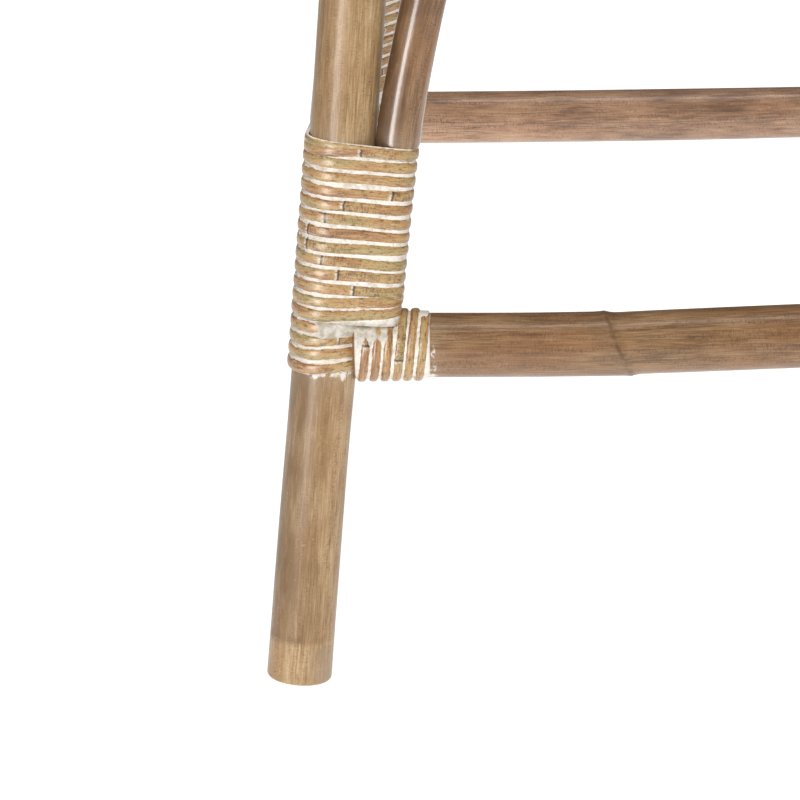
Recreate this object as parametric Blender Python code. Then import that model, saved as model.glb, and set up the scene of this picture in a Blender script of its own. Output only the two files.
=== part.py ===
"""Rattan bar stool with a footrest, as separate solids.

Frame: +Z up, front toward -Y, origin on the floor under the middle of the seat, metres.
Four straight poles lean inward as they rise. Four footrest poles join them low down, and a bent
arch pole stands on each footrest pole, lashed to a leg at both ends and to the seat rail on top.
Every corner is worked out once, as if it were the front left one, and then mirrored.
"""

import math

import bmesh
import bpy
from mathutils import Vector

# Clearance between touching pieces
GAP = 0.0003

# Legs
LEG_RADIUS = 0.0165
LEG_LEAN = 0.10
LEG_TOP_Z = 0.7195
FOOT_TRIM = 0.0012
FOOT_ROUND = 0.0018

# Footrest poles and the half distance between leg axes at their height
FOOTREST_Z = 0.175
FOOTREST_HALF = 0.216
FOOTREST_RADIUS = 0.0163

# Seat rails, between the leg tops
RAIL_Z = 0.6975
RAIL_RADIUS = 0.013

# Cutters that shape the ends of footrests and rails: reach past the leg's axis, half their height,
# and the step that keeps two mitred ends a gap apart
NOTCH_REACH = 0.024
FOOTREST_NOTCH_HALF = 0.025
RAIL_NOTCH_HALF = 0.020
MITRE_STEP = 0.7 * GAP

# Arch poles: lashed parallel to the leg, then straight sides and a round top
ARCH_RADIUS = 0.0108
ARCH_BESIDE_LEG = 0.0269
ARCH_OUTWARD = 0.0062
ARCH_BEND_LOW_Z = 0.255
ARCH_BEND_HIGH_Z = 0.335
ARCH_SIDE_SLOPE = 0.2456

# Lashings of peel strip
STRIP = 0.0018
COLLAR_STRIP = 0.0016
KNOT_BELOW = 0.012
KNOT_SHOULDER = 0.017
KNOT_BEND = 0.075
KNOT_ABOVE = 0.1057
COLLAR_START = 0.0212
COLLAR_END = 0.056
TOP_KNOT_BOTTOM_Z = 0.652
TOP_KNOT_TOP_Z = 0.7175
TOP_COLLAR_START = 0.004
TOP_COLLAR_END = 0.044
APEX_HALF = 0.019
# Bores run this far past the ends of what they go through
BORE_BEYOND = 0.010

# Seat
HOOP_RADIUS = 0.013
HOOP_CORNER = 0.060
SEAT_SKIN = 0.004
SEAT_DISH = 0.003
# Inward from the hoop's centre line: where the panel starts to dip, how much of the dip is reached
# there, and where it is flat
PANEL_EDGE = 0.020
PANEL_EDGE_DISH = 0.4 * SEAT_DISH
PANEL_MIDDLE = 0.055
# How far the panel curls round the hoop from its top, in degrees
CURL = 140
CROSS_RADIUS = 0.009
CROSS_X = 0.060
CROSS_HALF_LENGTH = 0.160

# Screws
SHANK_RADIUS = 0.0022
HEAD_RADIUS = 0.0046
HEAD_HEIGHT = 0.0025
HEAD_DEPTH = 0.0035
SCREW_LENGTH = 0.070
HOOP_SCREW_LENGTH = 0.040
POINT_LENGTH = 0.006
POINT_TAPER = 0.3
HEAD_CUT_BEYOND = 0.008
FOOTREST_SCREW_STEPS = (0.006, -0.006)
RAIL_SCREW_STEPS = (0.001, -0.0055)

# Facets round each pole, and the angle in degrees from which an edge is drawn sharp
SHARP_ANGLE = 40
LEG_SIDES = 20
ARCH_SIDES = 12
THIN_SIDES = 12
KNOT_SIDES = 36
SCREW_SIDES = 6
# A faceted skin is drawn this much wider, so that its flats clear the round bar inside
FACET_SLACK = 0.985

LEG_TOP_HALF = FOOTREST_HALF - LEG_LEAN * (LEG_TOP_Z - FOOTREST_Z)
HOOP_Z = LEG_TOP_Z + HOOP_RADIUS + GAP
HOOP_HALF = LEG_TOP_HALF + HOOP_CORNER * (1 - math.sqrt(0.5))
CROSS_Z = RAIL_Z + RAIL_RADIUS + CROSS_RADIUS + GAP
CORNERS = {
    "front_left": (1, 1),
    "front_right": (-1, 1),
    "back_right": (-1, -1),
    "back_left": (1, -1),
}
FACES = ("front", "right", "back", "left")


def leg_half(height):
    """Half the distance between leg axes at a height."""
    return FOOTREST_HALF - LEG_LEAN * (height - FOOTREST_Z)


def leg_point(height):
    """The front left leg's axis at a height."""
    return Vector((-leg_half(height), -leg_half(height), height))


LEG_AXIS = Vector((LEG_LEAN, LEG_LEAN, 1)).normalized()
# Across the leg: inward along the front face, and inward along the left face
LEG_ALONG_X = (Vector((1, 0, 0)) - LEG_AXIS * LEG_AXIS.x).normalized()
LEG_ALONG_Y = LEG_AXIS.cross(LEG_ALONG_X)


def mirrored(points, corner):
    """Points of the front left corner, moved to another corner."""
    across, deep = CORNERS[corner]
    return [Vector((point.x * across, point.y * deep, point.z)) for point in points]


def turned(points, face):
    """Points of the front face, turned about Z to another face."""
    quarter = FACES.index(face)
    for _ in range(quarter):
        points = [Vector((-point.y, point.x, point.z)) for point in points]
    return points


def make_material(name, colour, roughness, metallic=0.0):
    material = bpy.data.materials.new(name)
    material.use_nodes = True
    shader = material.node_tree.nodes["Principled BSDF"]
    shader.inputs["Base Color"].default_value = (*colour, 1)
    shader.inputs["Roughness"].default_value = roughness
    shader.inputs["Metallic"].default_value = metallic
    return material


def lofted(rings, looped=False):
    """A closed mesh through rings of points, with flat ends or joined end to start."""
    mesh = bmesh.new()
    rows = [[mesh.verts.new(point) for point in ring] for ring in rings]
    pairs = list(zip(rows, rows[1:]))
    if looped:
        pairs.append((rows[-1], rows[0]))
    count = len(rows[0])
    for low, high in pairs:
        for here in range(count):
            there = (here + 1) % count
            mesh.faces.new((low[here], low[there], high[there], high[here]))
    if not looped:
        mesh.faces.new(reversed(rows[0]))
        mesh.faces.new(rows[-1])
    return mesh


def make_object(name, mesh, material, cutter=False):
    """One object from a bmesh, faces out and shaded smooth."""
    bmesh.ops.recalc_face_normals(mesh, faces=mesh.faces)
    data = bpy.data.meshes.new(name)
    mesh.to_mesh(data)
    mesh.free()
    data.shade_smooth()
    data.set_sharp_from_angle(angle=math.radians(SHARP_ANGLE))
    thing = bpy.data.objects.new(name, data)
    bpy.context.scene.collection.objects.link(thing)
    if cutter:
        thing.hide_render = True
        thing.display_type = "WIRE"
    else:
        data.materials.append(material)
    return thing


def add_boolean(thing, cutter, operation="DIFFERENCE"):
    change = thing.modifiers.new(cutter.name, "BOOLEAN")
    change.operation = operation
    change.solver = "EXACT"
    change.object = cutter


def circle(centre, first, second, radius, sides):
    """A ring of points in the plane of two directions."""
    ring = []
    for step in range(sides):
        angle = 2 * math.pi * step / sides
        ring.append(centre + radius * (math.cos(angle) * first + math.sin(angle) * second))
    return ring


def rod(start, end, radius, sides):
    """Rings of a straight round bar."""
    direction = (end - start).normalized()
    helper = Vector((0, 0, 1)) if abs(direction.z) < 0.9 else Vector((0, 1, 0))
    first = direction.cross(helper).normalized()
    second = direction.cross(first)
    return [circle(point, first, second, radius, sides) for point in (start, end)]


def moved(rings, move, place):
    return [move(ring, place) for ring in rings]


# Legs


def leg_rings():
    """A pole cut square at the foot, with a rounded edge, and level at the top."""
    drop = LEG_RADIUS * math.hypot(LEG_LEAN, LEG_LEAN)
    foot = leg_point(drop - FOOT_TRIM)
    rings = []
    for step in range(4):
        angle = math.radians(30 * step)
        inset = FOOT_ROUND * (1 - math.sin(angle))
        rise = FOOT_ROUND * (1 - math.cos(angle))
        centre = foot + LEG_AXIS * rise
        rings.append(circle(centre, LEG_ALONG_X, LEG_ALONG_Y, LEG_RADIUS - inset, LEG_SIDES))
    top = []
    for point in rings[-1]:
        top.append(point + LEG_AXIS * ((LEG_TOP_Z - point.z) / LEG_AXIS.z))
    rings.append(top)
    return rings


def level_foot(mesh):
    """Trims the foot's low edge to the floor."""
    everything = mesh.verts[:] + mesh.edges[:] + mesh.faces[:]
    bmesh.ops.bisect_plane(
        mesh, geom=everything, plane_co=(0, 0, 0), plane_no=(0, 0, -1), clear_outer=True
    )
    rim = [edge for edge in mesh.edges if edge.is_boundary]
    bmesh.ops.contextual_create(mesh, geom=rim)


def build_legs():
    pole = make_material("leg_pole", (0.36, 0.24, 0.13), 0.42)
    legs = {}
    for corner in CORNERS:
        mesh = lofted(moved(leg_rings(), mirrored, corner))
        level_foot(mesh)
        legs[corner] = make_object(f"leg_{corner}", mesh, pole)
    return legs


# Poles between the legs


def notch_outline():
    """The cross-section that a pole's end loses: a scoop round the leg, mitred to its neighbour."""
    scoop = LEG_RADIUS + GAP
    outline = [(-NOTCH_REACH, -NOTCH_REACH)]
    outline.append((NOTCH_REACH + MITRE_STEP, -NOTCH_REACH))
    steps = 8
    for step in range(steps + 1):
        angle = math.radians(-45 + 90 * step / steps)
        outline.append((scoop * math.cos(angle) + MITRE_STEP, scoop * math.sin(angle)))
    outline.append((NOTCH_REACH + MITRE_STEP, NOTCH_REACH))
    outline.append((-NOTCH_REACH, NOTCH_REACH))
    return outline


def notch_rings(height, half_height):
    """A prism along the front left leg that shapes the end of a pole running along X."""
    rings = []
    for level in (height - half_height, height + half_height):
        centre = leg_point(level)
        rings.append([centre + Vector((x, y, 0)) for x, y in notch_outline()])
    return rings


def build_cross_piece(name, face, height, radius, material, cutters):
    """A straight pole from leg to leg, scooped to fit both."""
    half = leg_half(height)
    start = Vector((-half, -half, height))
    end = Vector((half, -half, height))
    rings = moved(rod(start, end, radius, LEG_SIDES), turned, face)
    thing = make_object(name, lofted(rings), material)
    for cutter in cutters[face]:
        add_boolean(thing, cutter)
    return thing


def build_notches(height, half_height, label):
    """Both end cutters for each face."""
    rings = notch_rings(height, half_height)
    cutters = {}
    for face in FACES:
        pair = []
        for side, across in (("start", 1), ("end", -1)):
            shaped = [[Vector((p.x * across, p.y, p.z)) for p in ring] for ring in rings]
            mesh = lofted(moved(shaped, turned, face))
            pair.append(make_object(f"cut_{label}_{face}_{side}", mesh, None, cutter=True))
        cutters[face] = pair
    return cutters


def build_footrests():
    pole = make_material("footrest_pole", (0.27, 0.16, 0.09), 0.40)
    cutters = build_notches(FOOTREST_Z, FOOTREST_NOTCH_HALF, "footrest")
    footrests = {}
    for face in FACES:
        footrests[face] = build_cross_piece(
            f"footrest_{face}", face, FOOTREST_Z, FOOTREST_RADIUS, pole, cutters
        )
    return footrests


def build_rails():
    pole = make_material("rail_pole", (0.33, 0.21, 0.12), 0.42)
    cutters = build_notches(RAIL_Z, RAIL_NOTCH_HALF, "rail")
    rails = {}
    for face in FACES:
        rails[face] = build_cross_piece(f"rail_{face}", face, RAIL_Z, RAIL_RADIUS, pole, cutters)
    return rails


# Arches


def arch_apex_z():
    """The arch's top touches the underside of the seat rail."""
    return RAIL_Z - RAIL_RADIUS - ARCH_RADIUS - GAP


def arch_low_side(height):
    """How far the arch's axis is from the middle plane, below its straight side."""
    inward = ARCH_BESIDE_LEG
    if height > ARCH_BEND_LOW_Z:
        bend = ARCH_BEND_HIGH_Z - ARCH_BEND_LOW_Z
        turned_slope = ARCH_SIDE_SLOPE - LEG_LEAN
        inward += 0.5 * turned_slope * (height - ARCH_BEND_LOW_Z) ** 2 / bend
    return leg_half(height) - inward


def arch_top():
    """Radius of the round top, and the height where it meets the straight sides."""
    tilt = math.atan(ARCH_SIDE_SLOPE)
    side = arch_low_side(ARCH_BEND_HIGH_Z)
    rise = arch_apex_z() - ARCH_BEND_HIGH_Z
    spread = math.cos(tilt) - ARCH_SIDE_SLOPE * (1 - math.sin(tilt))
    radius = (side - ARCH_SIDE_SLOPE * rise) / spread
    return radius, arch_apex_z() - radius * (1 - math.sin(tilt))


def arch_outward(height):
    """How far the arch's axis is in front of the plane of the two legs."""
    rise = (height - ARCH_BEND_LOW_Z) / (arch_apex_z() - ARCH_BEND_LOW_Z)
    return ARCH_OUTWARD * (1 - max(0.0, rise))


def arch_left_half():
    """(distance from the middle, height) from the foot to the apex."""
    radius, round_z = arch_top()
    tilt = math.atan(ARCH_SIDE_SLOPE)
    foot_z = FOOTREST_Z + FOOTREST_RADIUS + 2 * GAP + COLLAR_STRIP
    places = [(arch_low_side(z), z) for z in (foot_z, ARCH_BEND_LOW_Z)]
    for step in range(1, 4):
        height = ARCH_BEND_LOW_Z + (ARCH_BEND_HIGH_Z - ARCH_BEND_LOW_Z) * step / 3
        places.append((arch_low_side(height), height))
    steps = 7
    for step in range(steps + 1):
        angle = tilt + (math.pi / 2 - tilt) * step / steps
        side = radius * math.cos(angle)
        places.append((side, round_z + radius * (math.sin(angle) - math.sin(tilt))))
    return places


def arch_rings():
    left = arch_left_half()
    path = []
    for side, height in left:
        path.append(Vector((-side, -leg_half(height) - arch_outward(height), height)))
    path += [Vector((-point.x, point.y, point.z)) for point in reversed(path[:-1])]
    rings = []
    face_out = Vector((0, -1, -LEG_LEAN)).normalized()
    for index, point in enumerate(path):
        before = path[max(index - 1, 0)]
        after = path[min(index + 1, len(path) - 1)]
        along = (after - before).normalized()
        sideways = along.cross(face_out).normalized()
        outward = sideways.cross(along)
        rings.append(circle(point, sideways, outward, ARCH_RADIUS, ARCH_SIDES))
    for ring in (rings[0], rings[-1]):
        level = sum(point.z for point in ring) / len(ring)
        for point in ring:
            point.z = level
    return rings


def build_arches():
    pole = make_material("arch_pole", (0.30, 0.19, 0.11), 0.36)
    for face in FACES:
        make_object(f"arch_{face}", lofted(moved(arch_rings(), turned, face)), pole)


# Lashings at the footrest


def wrap_ring(centre, discs):
    """The tight outline round several discs, given as (x, y, radius) across the leg."""
    ring = []
    for step in range(KNOT_SIDES):
        angle = 2 * math.pi * (step + 0.5) / KNOT_SIDES
        nx = math.cos(angle)
        ny = math.sin(angle)
        x, y, radius = max(discs, key=lambda disc: disc[0] * nx + disc[1] * ny + disc[2])
        ring.append(centre + LEG_ALONG_X * (x + radius * nx) + LEG_ALONG_Y * (y + radius * ny))
    return ring


def knot_discs(along, extra, with_arches):
    """The leg and the two arch ends in the plane across the leg at a distance along it."""
    centre = leg_point(FOOTREST_Z) + LEG_AXIS * along
    discs = [(0.0, 0.0, LEG_RADIUS + extra)]
    if with_arches:
        for swap in (False, True):
            height = centre.z - ARCH_BESIDE_LEG * LEG_LEAN
            side = Vector((-arch_low_side(height), 0, height))
            side.y = -leg_half(height) - arch_outward(height)
            if swap:
                side = Vector((side.y, side.x, side.z))
            offset = side - centre
            x = offset.dot(LEG_ALONG_X)
            y = offset.dot(LEG_ALONG_Y)
            discs.append((x, y, ARCH_RADIUS + extra))
    return centre, discs


def knot_rings():
    """Outer skin upward from the bottom edge, then inner skin back down."""
    levels = (KNOT_SHOULDER, KNOT_BEND, KNOT_ABOVE)
    outer = GAP + STRIP
    rings = [wrap_ring(*knot_discs(-KNOT_BELOW, outer, False))]
    rings.append(wrap_ring(*knot_discs(KNOT_SHOULDER - STRIP, outer, False)))
    rings.append(wrap_ring(*knot_discs(KNOT_SHOULDER - STRIP, outer, True)))
    rings += [wrap_ring(*knot_discs(level, outer, True)) for level in levels[1:]]
    rings += [wrap_ring(*knot_discs(level, GAP, True)) for level in reversed(levels)]
    rings.append(wrap_ring(*knot_discs(KNOT_SHOULDER, GAP, False)))
    rings.append(wrap_ring(*knot_discs(-KNOT_BELOW, GAP, False)))
    return rings


def inner_corner_rings():
    """A block between the two footrest poles, where the lashing has no strip below them."""
    near = -FOOTREST_HALF + 0.5 * LEG_RADIUS
    far = near + 2 * LEG_RADIUS
    rings = []
    for height in (FOOTREST_Z - 2 * FOOTREST_RADIUS, FOOTREST_Z):
        ring = [(near, near), (far, near), (far, far), (near, far)]
        rings.append([Vector((x, y, height)) for x, y in ring])
    return rings


def build_knots():
    """One lashing round each leg and the ends of its two arches."""
    strip = make_material("footrest_lashing", (0.50, 0.32, 0.15), 0.45)
    clearance = FOOTREST_RADIUS + COLLAR_STRIP + 2 * GAP
    bars = {}
    for face in FACES:
        reach = FOOTREST_HALF
        ends = Vector((-reach, -reach, FOOTREST_Z)), Vector((reach, -reach, FOOTREST_Z))
        rings = moved(rod(*ends, clearance, LEG_SIDES), turned, face)
        bars[face] = make_object(f"cut_knot_{face}", lofted(rings), None, cutter=True)
    for corner, (across, deep) in CORNERS.items():
        mesh = lofted(moved(knot_rings(), mirrored, corner), looped=True)
        knot = make_object(f"knot_{corner}", mesh, strip)
        add_boolean(knot, bars["front" if deep > 0 else "back"])
        add_boolean(knot, bars["left" if across > 0 else "right"])
        inside = lofted(moved(inner_corner_rings(), mirrored, corner))
        add_boolean(knot, make_object(f"cut_inside_{corner}", inside, None, cutter=True))


def collar_rings():
    """A sleeve round the left end of the front footrest pole."""
    half = leg_half(FOOTREST_Z)
    start = Vector((COLLAR_START - half, -half, FOOTREST_Z))
    end = Vector((COLLAR_END - half, -half, FOOTREST_Z))
    outer = rod(start, end, FOOTREST_RADIUS + GAP + COLLAR_STRIP, LEG_SIDES)
    inner = rod(start, end, FOOTREST_RADIUS + GAP, LEG_SIDES)
    return outer + list(reversed(inner))


def build_collars():
    strip = make_material("collar_lashing", (0.48, 0.31, 0.16), 0.45)
    for face in FACES:
        for side, across in (("start", 1), ("end", -1)):
            rings = [[Vector((p.x * across, p.y, p.z)) for p in ring] for ring in collar_rings()]
            mesh = lofted(moved(rings, turned, face), looped=True)
            make_object(f"collar_{face}_{side}", mesh, strip)


# Lashings at the seat


def build_top_knots():
    """A sleeve round each leg top that also wraps the ends of both rails."""
    strip = make_material("seat_lashing", (0.50, 0.32, 0.15), 0.45)
    low = leg_point(TOP_KNOT_BOTTOM_Z)
    high = leg_point(TOP_KNOT_TOP_Z)
    beyond = LEG_AXIS * BORE_BEYOND
    half = leg_half(RAIL_Z)
    middle = Vector((-half, -half, RAIL_Z))
    rail_skin = RAIL_RADIUS + GAP + STRIP
    for corner in CORNERS:
        sleeve = rod(low, high, LEG_RADIUS + GAP + STRIP, LEG_SIDES)
        knot = make_object(f"top_knot_{corner}", lofted(moved(sleeve, mirrored, corner)), strip)
        bore = rod(low - beyond, high + beyond, LEG_RADIUS + GAP, LEG_SIDES)
        shapes = []
        for label, way in (("x", Vector((1, 0, 0))), ("y", Vector((0, 1, 0)))):
            start = middle + way * TOP_COLLAR_START
            skin = rod(start, middle + way * TOP_COLLAR_END, rail_skin, LEG_SIDES)
            shapes.append((f"skin_{label}", skin, "UNION"))
        shapes.append(("leg", bore, "DIFFERENCE"))
        for label, way in (("x", Vector((1, 0, 0))), ("y", Vector((0, 1, 0)))):
            far = middle + way * (TOP_COLLAR_END + BORE_BEYOND)
            hole = rod(middle, far, RAIL_RADIUS + GAP, LEG_SIDES)
            shapes.append((f"rail_{label}", hole, "DIFFERENCE"))
        for label, rings, operation in shapes:
            mesh = lofted(moved(rings, mirrored, corner))
            cutter = make_object(f"cut_{corner}_{label}", mesh, None, cutter=True)
            add_boolean(knot, cutter, operation)


def build_apex_knots():
    """A lashing round each seat rail and the arch under it."""
    strip = make_material("apex_lashing", (0.50, 0.32, 0.15), 0.45)
    rail_y = -leg_half(RAIL_Z)
    arch_y = -leg_half(arch_apex_z())
    bend = arch_top()[0]
    sag = bend - math.sqrt(bend**2 - APEX_HALF**2) + GAP
    shapes = ((rail_y, RAIL_Z, RAIL_RADIUS), (arch_y, arch_apex_z(), ARCH_RADIUS))
    for face in FACES:
        rings = []
        for end, extra in ((-1, GAP + STRIP), (1, GAP + STRIP), (1, GAP), (-1, GAP)):
            ring = []
            for step in range(KNOT_SIDES):
                angle = 2 * math.pi * (step + 0.5) / KNOT_SIDES
                ny = math.cos(angle)
                nz = math.sin(angle)
                discs = [(y, z, radius + extra) for y, z, radius in shapes]
                discs.append((arch_y, arch_apex_z() - sag, ARCH_RADIUS + extra))
                y, z, radius = max(discs, key=lambda disc: disc[0] * ny + disc[1] * nz + disc[2])
                ring.append(Vector((end * APEX_HALF, y + radius * ny, z + radius * nz)))
            rings.append(ring)
        make_object(f"apex_knot_{face}", lofted(moved(rings, turned, face), looped=True), strip)


# Seat


def square_ring(half, corner):
    """A rounded square, as (point, outward direction) pairs in the XY plane."""
    ring = []
    steps = 6
    middle = half - corner
    for quarter in range(4):
        turn = math.pi / 2 * quarter
        centre_angle = turn + math.pi / 4
        centre = Vector((math.cos(centre_angle), math.sin(centre_angle), 0))
        centre *= middle * math.sqrt(2)
        for step in range(steps + 1):
            angle = turn + math.pi / 2 * step / steps
            outward = Vector((math.cos(angle), math.sin(angle), 0))
            ring.append((centre + outward * corner, outward))
    return ring


def build_hoop():
    """The round bar bent into a rounded square that carries the woven seat."""
    pole = make_material("hoop_pole", (0.31, 0.20, 0.11), 0.42)
    up = Vector((0, 0, 1))
    level = Vector((0, 0, HOOP_Z))
    rings = []
    for point, outward in square_ring(HOOP_HALF, HOOP_CORNER):
        rings.append(circle(point + level, outward, up, HOOP_RADIUS, THIN_SIDES))
    return make_object("seat_hoop", lofted(rings, looped=True), pole)


def seat_profile():
    """(offset from the hoop's centre line, height) from the top middle, round the hoop, back under."""
    over = HOOP_RADIUS + GAP + SEAT_SKIN
    under = (HOOP_RADIUS + GAP) / FACET_SLACK
    profile = [(-PANEL_MIDDLE, over - SEAT_DISH), (-PANEL_EDGE, over - PANEL_EDGE_DISH)]
    steps = 7
    angles = [90 - CURL * step / steps for step in range(steps + 1)]
    for angle in angles:
        turn = math.radians(angle)
        profile.append((over * math.cos(turn), over * math.sin(turn)))
    for angle in reversed(angles):
        turn = math.radians(angle)
        profile.append((under * math.cos(turn), under * math.sin(turn)))
    profile.append((-PANEL_EDGE, under - PANEL_EDGE_DISH))
    profile.append((-PANEL_MIDDLE, under - SEAT_DISH))
    return profile


def build_seat():
    """The woven seat: a thin dished panel that curls over the hoop and under its outer side."""
    weave = make_material("woven_seat", (0.52, 0.36, 0.20), 0.5)
    rings = []
    for offset, height in seat_profile():
        level = Vector((0, 0, HOOP_Z + height))
        ring = []
        for point, outward in square_ring(HOOP_HALF, HOOP_CORNER):
            ring.append(point + outward * offset + level)
        rings.append(ring)
    make_object("seat_weave", lofted(rings), weave)


def build_cross_poles():
    """Two thin poles under the seat that lie on the front and back rails."""
    pole = make_material("cross_pole", (0.33, 0.22, 0.12), 0.45)
    for side, x in (("left", -CROSS_X), ("right", CROSS_X)):
        ends = Vector((x, -CROSS_HALF_LENGTH, CROSS_Z)), Vector((x, CROSS_HALF_LENGTH, CROSS_Z))
        make_object(f"cross_pole_{side}", lofted(rod(*ends, CROSS_RADIUS, THIN_SIDES)), pole)


# Screws


def screw_rings(head, direction, length, extra):
    """Head, shank and point along a direction. A cutter has extra clearance and no end to its head."""
    first = direction.cross(Vector((0.3, 0.5, 0.8))).normalized()
    second = direction.cross(first)
    outside = -HEAD_CUT_BEYOND if extra else 0.0
    stations = (
        (outside, HEAD_RADIUS + extra),
        (HEAD_HEIGHT + extra, HEAD_RADIUS + extra),
        (HEAD_HEIGHT + extra, SHANK_RADIUS + extra),
        (length - POINT_LENGTH, SHANK_RADIUS + extra),
        (length + extra, POINT_TAPER * SHANK_RADIUS + extra),
    )
    rings = []
    for distance, radius in stations:
        centre = head + direction * distance
        rings.append(circle(centre, first, second, radius, SCREW_SIDES))
    return rings


def side_screws(height, steps):
    """The two screws of the front left corner, one over the other: (way, head, direction)."""
    half = leg_half(height)
    inset = HEAD_DEPTH - LEG_RADIUS
    high, low = (height + step for step in steps)
    x_head = Vector((inset - leg_half(high), -half, high))
    y_head = Vector((-half, inset - leg_half(low), low))
    return (("x", x_head, Vector((1, 0, 0))), ("y", y_head, Vector((0, 1, 0))))


def build_screw(name, rings_of, corner, material, held):
    """One screw, and the clearance hole it needs in the pieces that it holds."""
    screw = lofted(moved(rings_of(0.0), mirrored, corner))
    make_object(name, screw, material)
    hole = lofted(moved(rings_of(GAP), mirrored, corner))
    cutter = make_object(f"cut_{name}", hole, None, cutter=True)
    for thing in held:
        add_boolean(thing, cutter)


def build_side_screws(label, height, steps, legs, poles, steel):
    for corner, (across, deep) in CORNERS.items():
        pole_for = {
            "x": poles["front" if deep > 0 else "back"],
            "y": poles["left" if across > 0 else "right"],
        }
        for way, head, direction in side_screws(height, steps):
            def rings_of(extra, head=head, direction=direction):
                return screw_rings(head, direction, SCREW_LENGTH, extra)

            held = (legs[corner], pole_for[way])
            build_screw(f"screw_{label}_{corner}_{way}", rings_of, corner, steel, held)


def build_hoop_screws(legs, hoop, steel):
    """Screws down through the hoop's corners into the leg tops."""
    head = leg_point(LEG_TOP_Z)
    head.z = HOOP_Z + HOOP_RADIUS - HEAD_DEPTH
    down = Vector((0, 0, -1))
    for corner in CORNERS:
        def rings_of(extra):
            return screw_rings(head, down, HOOP_SCREW_LENGTH, extra)

        build_screw(f"screw_hoop_{corner}", rings_of, corner, steel, (legs[corner], hoop))


def main():
    for thing in list(bpy.data.objects):
        bpy.data.objects.remove(thing, do_unlink=True)
    legs = build_legs()
    footrests = build_footrests()
    rails = build_rails()
    build_arches()
    build_knots()
    build_collars()
    build_top_knots()
    build_apex_knots()
    hoop = build_hoop()
    build_seat()
    build_cross_poles()
    steel = make_material("screw_steel", (0.55, 0.54, 0.52), 0.35, metallic=1.0)
    build_side_screws("footrest", FOOTREST_Z, FOOTREST_SCREW_STEPS, legs, footrests, steel)
    build_side_screws("rail", RAIL_Z, RAIL_SCREW_STEPS, legs, rails, steel)
    build_hoop_screws(legs, hoop, steel)


main()
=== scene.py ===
"""Looks of a rattan bar stool: natural poles, peel-strip lashings with a pale wash, a woven seat.

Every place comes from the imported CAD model. A pole is a skin of rings along its axis, with the
growth nodes that cane has. A lashing is one strip wound round its poles, over a bed of wash.
"""

import math

import bpy
import numpy as np
from mathutils import Matrix, Vector, noise


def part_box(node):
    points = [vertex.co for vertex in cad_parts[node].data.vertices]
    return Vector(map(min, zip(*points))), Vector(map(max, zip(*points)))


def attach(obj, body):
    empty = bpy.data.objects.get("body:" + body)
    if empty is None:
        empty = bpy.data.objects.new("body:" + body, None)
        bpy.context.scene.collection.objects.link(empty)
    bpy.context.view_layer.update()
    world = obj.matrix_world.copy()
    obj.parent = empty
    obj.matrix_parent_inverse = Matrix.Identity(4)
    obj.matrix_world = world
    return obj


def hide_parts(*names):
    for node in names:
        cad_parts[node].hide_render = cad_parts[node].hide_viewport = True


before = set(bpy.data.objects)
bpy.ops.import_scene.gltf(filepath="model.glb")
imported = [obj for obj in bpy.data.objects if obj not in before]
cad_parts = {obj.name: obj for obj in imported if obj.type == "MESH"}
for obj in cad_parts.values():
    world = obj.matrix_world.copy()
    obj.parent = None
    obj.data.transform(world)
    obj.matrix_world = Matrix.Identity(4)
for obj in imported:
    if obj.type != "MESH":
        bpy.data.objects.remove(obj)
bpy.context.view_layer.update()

MM = 0.001
CORNERS = {
    "front_left": (1, 1),
    "front_right": (-1, 1),
    "back_right": (-1, -1),
    "back_left": (1, -1),
}
FACES = ("front", "right", "back", "left")
RIGHT = np.array([1.0, 0.0, 0.0])
BACK = np.array([0.0, 1.0, 0.0])
FRONT = np.array([0.0, -1.0, 0.0])
UP = np.array([0.0, 0.0, 1.0])

# Sizes read from the frame


def corners_of(node):
    low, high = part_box(node)
    return np.array(low), np.array(high)


def middle(node):
    low, high = corners_of(node)
    return (low + high) / 2


def vertices_of(node):
    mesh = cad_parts[node].data
    flat = np.empty(len(mesh.vertices) * 3)
    mesh.vertices.foreach_get("co", flat)
    return flat.reshape(-1, 3)


def radius_about(node, point, direction):
    """The largest distance of a CAD node's corners from an axis."""
    away = vertices_of(node) - point
    reach = away @ direction
    return np.linalg.norm(away - np.outer(reach, direction), axis=1).max()


FOOTREST = middle("footrest_front")
FOOTREST_Z = FOOTREST[2]
FOOTREST_HALF = -FOOTREST[1]
FOOTREST_RADIUS = (corners_of("footrest_front")[1] - FOOTREST)[2]
RAIL = middle("rail_front")
RAIL_Z = RAIL[2]
RAIL_HALF = -RAIL[1]
RAIL_RADIUS = (corners_of("rail_front")[1] - RAIL)[2]
LEAN = (FOOTREST_HALF - RAIL_HALF) / (RAIL_Z - FOOTREST_Z)
LEG_AXIS = np.array([LEAN, LEAN, 1.0])
LEG_AXIS /= np.linalg.norm(LEG_AXIS)
# Across the leg: to the right, and toward the back
LEG_X = RIGHT - LEG_AXIS * LEG_AXIS[0]
LEG_X /= np.linalg.norm(LEG_X)
LEG_Y = np.cross(LEG_AXIS, LEG_X)
LEG_TOP_Z = corners_of("leg_front_left")[1][2]


def leg_half(height):
    return FOOTREST_HALF - LEAN * (height - FOOTREST_Z)


def leg_point(height):
    return np.array([-leg_half(height), -leg_half(height), height])


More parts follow.
